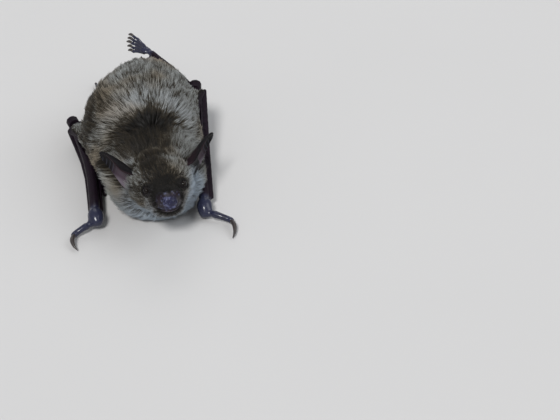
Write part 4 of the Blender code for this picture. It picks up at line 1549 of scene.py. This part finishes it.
def whisker_tree():
    """Bent tapered bristles, one on each point of a mesh, along its `way` and as long as its `size`."""
    tree = bpy.data.node_groups.new("whiskers", "GeometryNodeTree")
    face = tree.interface
    face.new_socket("Geometry", in_out="INPUT", socket_type="NodeSocketGeometry")
    for label, kind, default in (
        ("Length", "Float", 0.004),
        ("Thickness", "Float", 0.00006),
        ("Bow", "Float", 0.12),
        ("Seed", "Int", 3),
        ("Material", "Material", None),
    ):
        socket = face.new_socket(label, in_out="INPUT", socket_type="NodeSocket" + kind)
        if default is not None:
            socket.default_value = default
    face.new_socket("Geometry", in_out="OUTPUT", socket_type="NodeSocketGeometry")
    sheet = Sheet(tree)
    given, out = tree.nodes.new("NodeGroupInput"), tree.nodes.new("NodeGroupOutput")
    bow = sheet.node("ShaderNodeCombineXYZ", {0: given.outputs["Bow"], 1: 0.0, 2: 0.55}).outputs[0]
    bristle = sheet.node(
        "GeometryNodeCurveQuadraticBezier",
        {"Resolution": 6, "Start": (0, 0, 0), "Middle": bow, "End": (0, 0, 1)},
    ).outputs[0]
    along = sheet.node("GeometryNodeSplineParameter").outputs["Factor"]
    thin = sheet.maths("SUBTRACT", 1.0, sheet.times(along, 0.85))
    ratio = sheet.maths("DIVIDE", given.outputs["Thickness"], given.outputs["Length"])
    radius = sheet.times(thin, sheet.times(ratio, 0.5))
    tapered = sheet.node("GeometryNodeSetCurveRadius", {"Curve": bristle, "Radius": radius}).outputs[0]
    profile = sheet.node("GeometryNodeCurvePrimitiveCircle", {"Resolution": 5, "Radius": 1.0}).outputs[0]
    width = sheet.node("GeometryNodeInputRadius").outputs[0]
    drawn = {"Curve": tapered, "Profile Curve": profile, "Scale": width, "Fill Caps": True}
    solid = sheet.node("GeometryNodeCurveToMesh", drawn).outputs[0]
    way = sheet.node("GeometryNodeInputNamedAttribute", {"Name": "way"}, data_type="FLOAT_VECTOR").outputs[0]
    turn = sheet.node("FunctionNodeAlignRotationToVector", {"Vector": way}, axis="Z").outputs[0]
    size = sheet.node("GeometryNodeInputNamedAttribute", {"Name": "size"}, data_type="FLOAT").outputs[0]
    limits = {"Min": 0.75, "Max": 1.15, "Seed": given.outputs["Seed"]}
    chance = sheet.node("FunctionNodeRandomValue", limits, data_type="FLOAT").outputs["Value"]
    size = sheet.times(sheet.times(size, chance), given.outputs["Length"])
    placed = sheet.node(
        "GeometryNodeInstanceOnPoints",
        {"Points": given.outputs[0], "Instance": solid, "Rotation": turn, "Scale": size},
    ).outputs[0]
    real = sheet.node("GeometryNodeRealizeInstances", {"Geometry": placed}).outputs[0]
    dressed = sheet.node("GeometryNodeSetMaterial", {"Geometry": real, "Material": given.outputs["Material"]})
    tree.links.new(dressed.outputs[0], out.inputs[0])
    return tree


# The bunches of bristles on cheek, lip, below the eye, chin and brow: forward, outward and up in the
# head's own directions, how far they spread, how many they are, and their share of the longest one.
BUNCHES = (
    (9.4, 3.0, -0.4, 1.7, 22, 0.8),
    (11.0, 2.4, -0.6, 1.0, 9, 0.55),
    (7.4, 3.4, 0.6, 1.6, 10, 0.7),
    (8.8, 1.2, -4.3, 1.3, 10, 0.5),
    (5.6, 3.2, 3.2, 0.9, 4, 0.9),
)
BUNCH_SPREAD = 0.45  # of a bunch's reach
BRISTLE_SINK = 0.05  # how deep a bristle's foot stands in the skin
BRISTLE_OUT, BRISTLE_BACK, BRISTLE_DOWN = 0.5, 0.25, 0.35  # how bristles lean, against their normal
BROW_START, BROW_DROOP = 3, -0.5  # the bristles of the brow stand above this and lean upward
BRISTLE_NORMAL, BRISTLE_STRAY = 0.8, 0.2


def whisker_roots(points, faces, rng):
    """Where the bristles of muzzle, chin and brow stand, which way they point, and how long they are."""
    tree = search_tree(points, faces)
    places, ways, sizes = [], [], []
    for side in SIDES:
        for forward, out, up, reach, count, size in BUNCHES:
            for _ in range(count):
                aim = from_head(forward, out * SIGN[side], up) + rng.normal(0, reach * BUNCH_SPREAD, 3)
                place, normal = tree.find_nearest(aim)[:2]
                place, normal = np.array(place), np.array(normal)
                lean = HEAD_LEFT * SIGN[side] * BRISTLE_OUT - HEAD_AHEAD * BRISTLE_BACK
                lean = lean - HEAD_UP * (BRISTLE_DOWN if up < BROW_START else BROW_DROOP)
                places.append(place - normal * BRISTLE_SINK)
                ways.append(unit(normal * BRISTLE_NORMAL + lean + rng.normal(0, BRISTLE_STRAY, 3)))
                sizes.append(size * rng.uniform(0.5, 1.0))
    return np.array(places), np.array(ways), np.array(sizes)


class BAT_OT_whiskers(bpy.types.Operator):
    """Makes the bristles of muzzle, chin and brow"""

    bl_idname = "bat.whiskers"
    bl_label = "Whiskers"

    def execute(self, context):
        settings = context.scene.bat_whiskers
        points, faces, _ = made_skin()
        places, ways, sizes = whisker_roots(points, faces, np.random.default_rng(settings.seed))
        material, sheet, shader, place = new_material("bat_whisker")
        tint = sheet.mix(sheet.noise(place, 900.0), DARK_WHISKER, PALE_WHISKER)
        sheet.link(tint, shader.inputs["Base Color"])
        shader.inputs["Roughness"].default_value = 0.4
        mesh = bpy.data.meshes.new("whisker_roots")
        mesh.from_pydata((places * MM).tolist(), [], [])
        layers = (("way", "FLOAT_VECTOR", "vector", ways), ("size", "FLOAT", "value", sizes))
        for name, kind, key, values in layers:
            layer = mesh.attributes.new(name, kind, "POINT")
            layer.data.foreach_set(key, values.astype(np.float32).ravel())
        holder = bpy.data.objects.new("whisker_roots", mesh)
        context.scene.collection.objects.link(holder)
        tree = whisker_tree()
        grow = holder.modifiers.new("grow", "NODES")
        grow.node_group = tree
        sockets = {item.name: item.identifier for item in tree.interface.items_tree if item.in_out == "INPUT"}
        grow[sockets["Length"]] = settings.length
        grow[sockets["Thickness"]] = settings.thickness
        grow[sockets["Seed"]] = settings.seed
        grow[sockets["Material"]] = material
        bristles = evaluated(holder)
        bpy.data.objects.remove(holder)
        if not bristles.polygons:
            raise RuntimeError("the whiskers came out empty")
        piece = bpy.data.objects.new("bat_whiskers", bristles)
        context.scene.collection.objects.link(piece)
        finish_piece(piece, "fur_brown")
        return {"FINISHED"}


# ---------------------------------------------------------------- the stage

CAMERA_PLACE = (-0.002505, -0.222707, 0.145740)  # in metres
CAMERA_RIGHT = (0.98194, -0.18586, -0.03540)
CAMERA_UP = (0.13984, 0.58689, 0.79750)
CAMERA_BACK = (-0.12745, -0.78804, 0.60228)
HALF_VIEW = math.radians(14.4)  # from the middle of the picture to its side
SENSOR = 36.0
FLOOR_HALF = 3000.0  # from the middle of the floor to its sides


def soft_sun(name, direction, strength, angle, colour=(1.0, 1.0, 1.0)):
    """A broad, even light from a direction."""
    data = bpy.data.lights.new(name, "SUN")
    data.energy, data.angle, data.color = strength, math.radians(angle), colour
    light = bpy.data.objects.new(name, data)
    light.rotation_euler = Vector(direction).to_track_quat("Z", "Y").to_euler()
    bpy.context.scene.collection.objects.link(light)


class BAT_OT_stage(bpy.types.Operator):
    """Makes the floor, the soft lights and the camera"""

    bl_idname = "bat.stage"
    bl_label = "Stage"

    def execute(self, context):
        settings = context.scene.bat_stage
        material, sheet, shader, place = new_material("plain_floor")
        tone = tuple(settings.floor_colour)
        darker = tuple(part * 0.96 for part in tone)
        sheet.link(sheet.mix(sheet.noise(place, 12.0, 3.0), darker, tone), shader.inputs["Base Color"])
        shader.inputs["Roughness"].default_value = 0.7
        corners = np.array(((-1, -1, 0), (1, -1, 0), (1, 1, 0), (-1, 1, 0))) * FLOOR_HALF
        floor = mesh_object("floor", corners, np.array(((0, 1, 2, 3),)), material, smooth=False)
        soft_sun("key", (-0.30, -0.75, 1.0), settings.key_strength, 14.0)
        soft_sun("fill", (0.9, -0.25, 0.8), settings.fill_strength, 40.0, (0.92, 0.96, 1.0))
        soft_sun("back", (0.2, 1.0, 0.9), settings.fill_strength * 0.5, 40.0)
        world = bpy.data.worlds.new("studio")
        world.use_nodes = True
        sky = world.node_tree.nodes["Background"]
        sky.inputs["Color"].default_value = (0.92, 0.95, 1.0, 1.0)
        sky.inputs["Strength"].default_value = settings.sky_strength
        context.scene.world = world
        context.scene.view_settings.view_transform = "Standard"
        lens = bpy.data.cameras.new("camera")
        lens.sensor_width = SENSOR
        lens.lens = SENSOR / 2 / math.tan(HALF_VIEW)
        lens.clip_start = 0.01
        camera = bpy.data.objects.new("camera", lens)
        turn = Matrix((CAMERA_RIGHT, CAMERA_UP, CAMERA_BACK)).transposed().to_4x4()
        camera.matrix_world = Matrix.Translation(CAMERA_PLACE) @ turn
        context.scene.collection.objects.link(camera)
        context.scene.camera = camera
        return {"FINISHED"}


# ---------------------------------------------------------------- the add-on

STEPS = (BAT_OT_skin, BAT_OT_eyes, BAT_OT_claws, BAT_OT_whiskers, BAT_OT_coat, BAT_OT_stage)
SETTINGS = (
    ("bat_skin", BatSkinSettings),
    ("bat_coat", BatCoatSettings),
    ("bat_whiskers", BatWhiskerSettings),
    ("bat_stage", BatStageSettings),
)


class BAT_PT_panel(bpy.types.Panel):
    """Sizes, colours and steps of the brown bat"""

    bl_idname = "BAT_PT_panel"
    bl_label = "Brown bat"
    bl_space_type = "VIEW_3D"
    bl_region_type = "UI"
    bl_category = "Bat"

    def draw(self, context):
        for name, group in SETTINGS:
            box = self.layout.box()
            for label in group.__annotations__:
                box.prop(getattr(context.scene, name), label)
        for step in STEPS:
            self.layout.operator(step.bl_idname)


def register():
    for name, group in SETTINGS:
        bpy.utils.register_class(group)
        setattr(bpy.types.Scene, name, PointerProperty(type=group))
    for made in (*STEPS, BAT_PT_panel):
        bpy.utils.register_class(made)


def unregister():
    for made in (BAT_PT_panel, *reversed(STEPS)):
        bpy.utils.unregister_class(made)
    for name, group in reversed(SETTINGS):
        delattr(bpy.types.Scene, name)
        bpy.utils.unregister_class(group)


def main():
    register()
    bpy.ops.bat.skin()
    bpy.ops.bat.eyes()
    bpy.ops.bat.claws()
    bpy.ops.bat.whiskers()
    bpy.ops.bat.coat()
    bpy.ops.bat.stage()


if __name__ == "__main__":
    main()
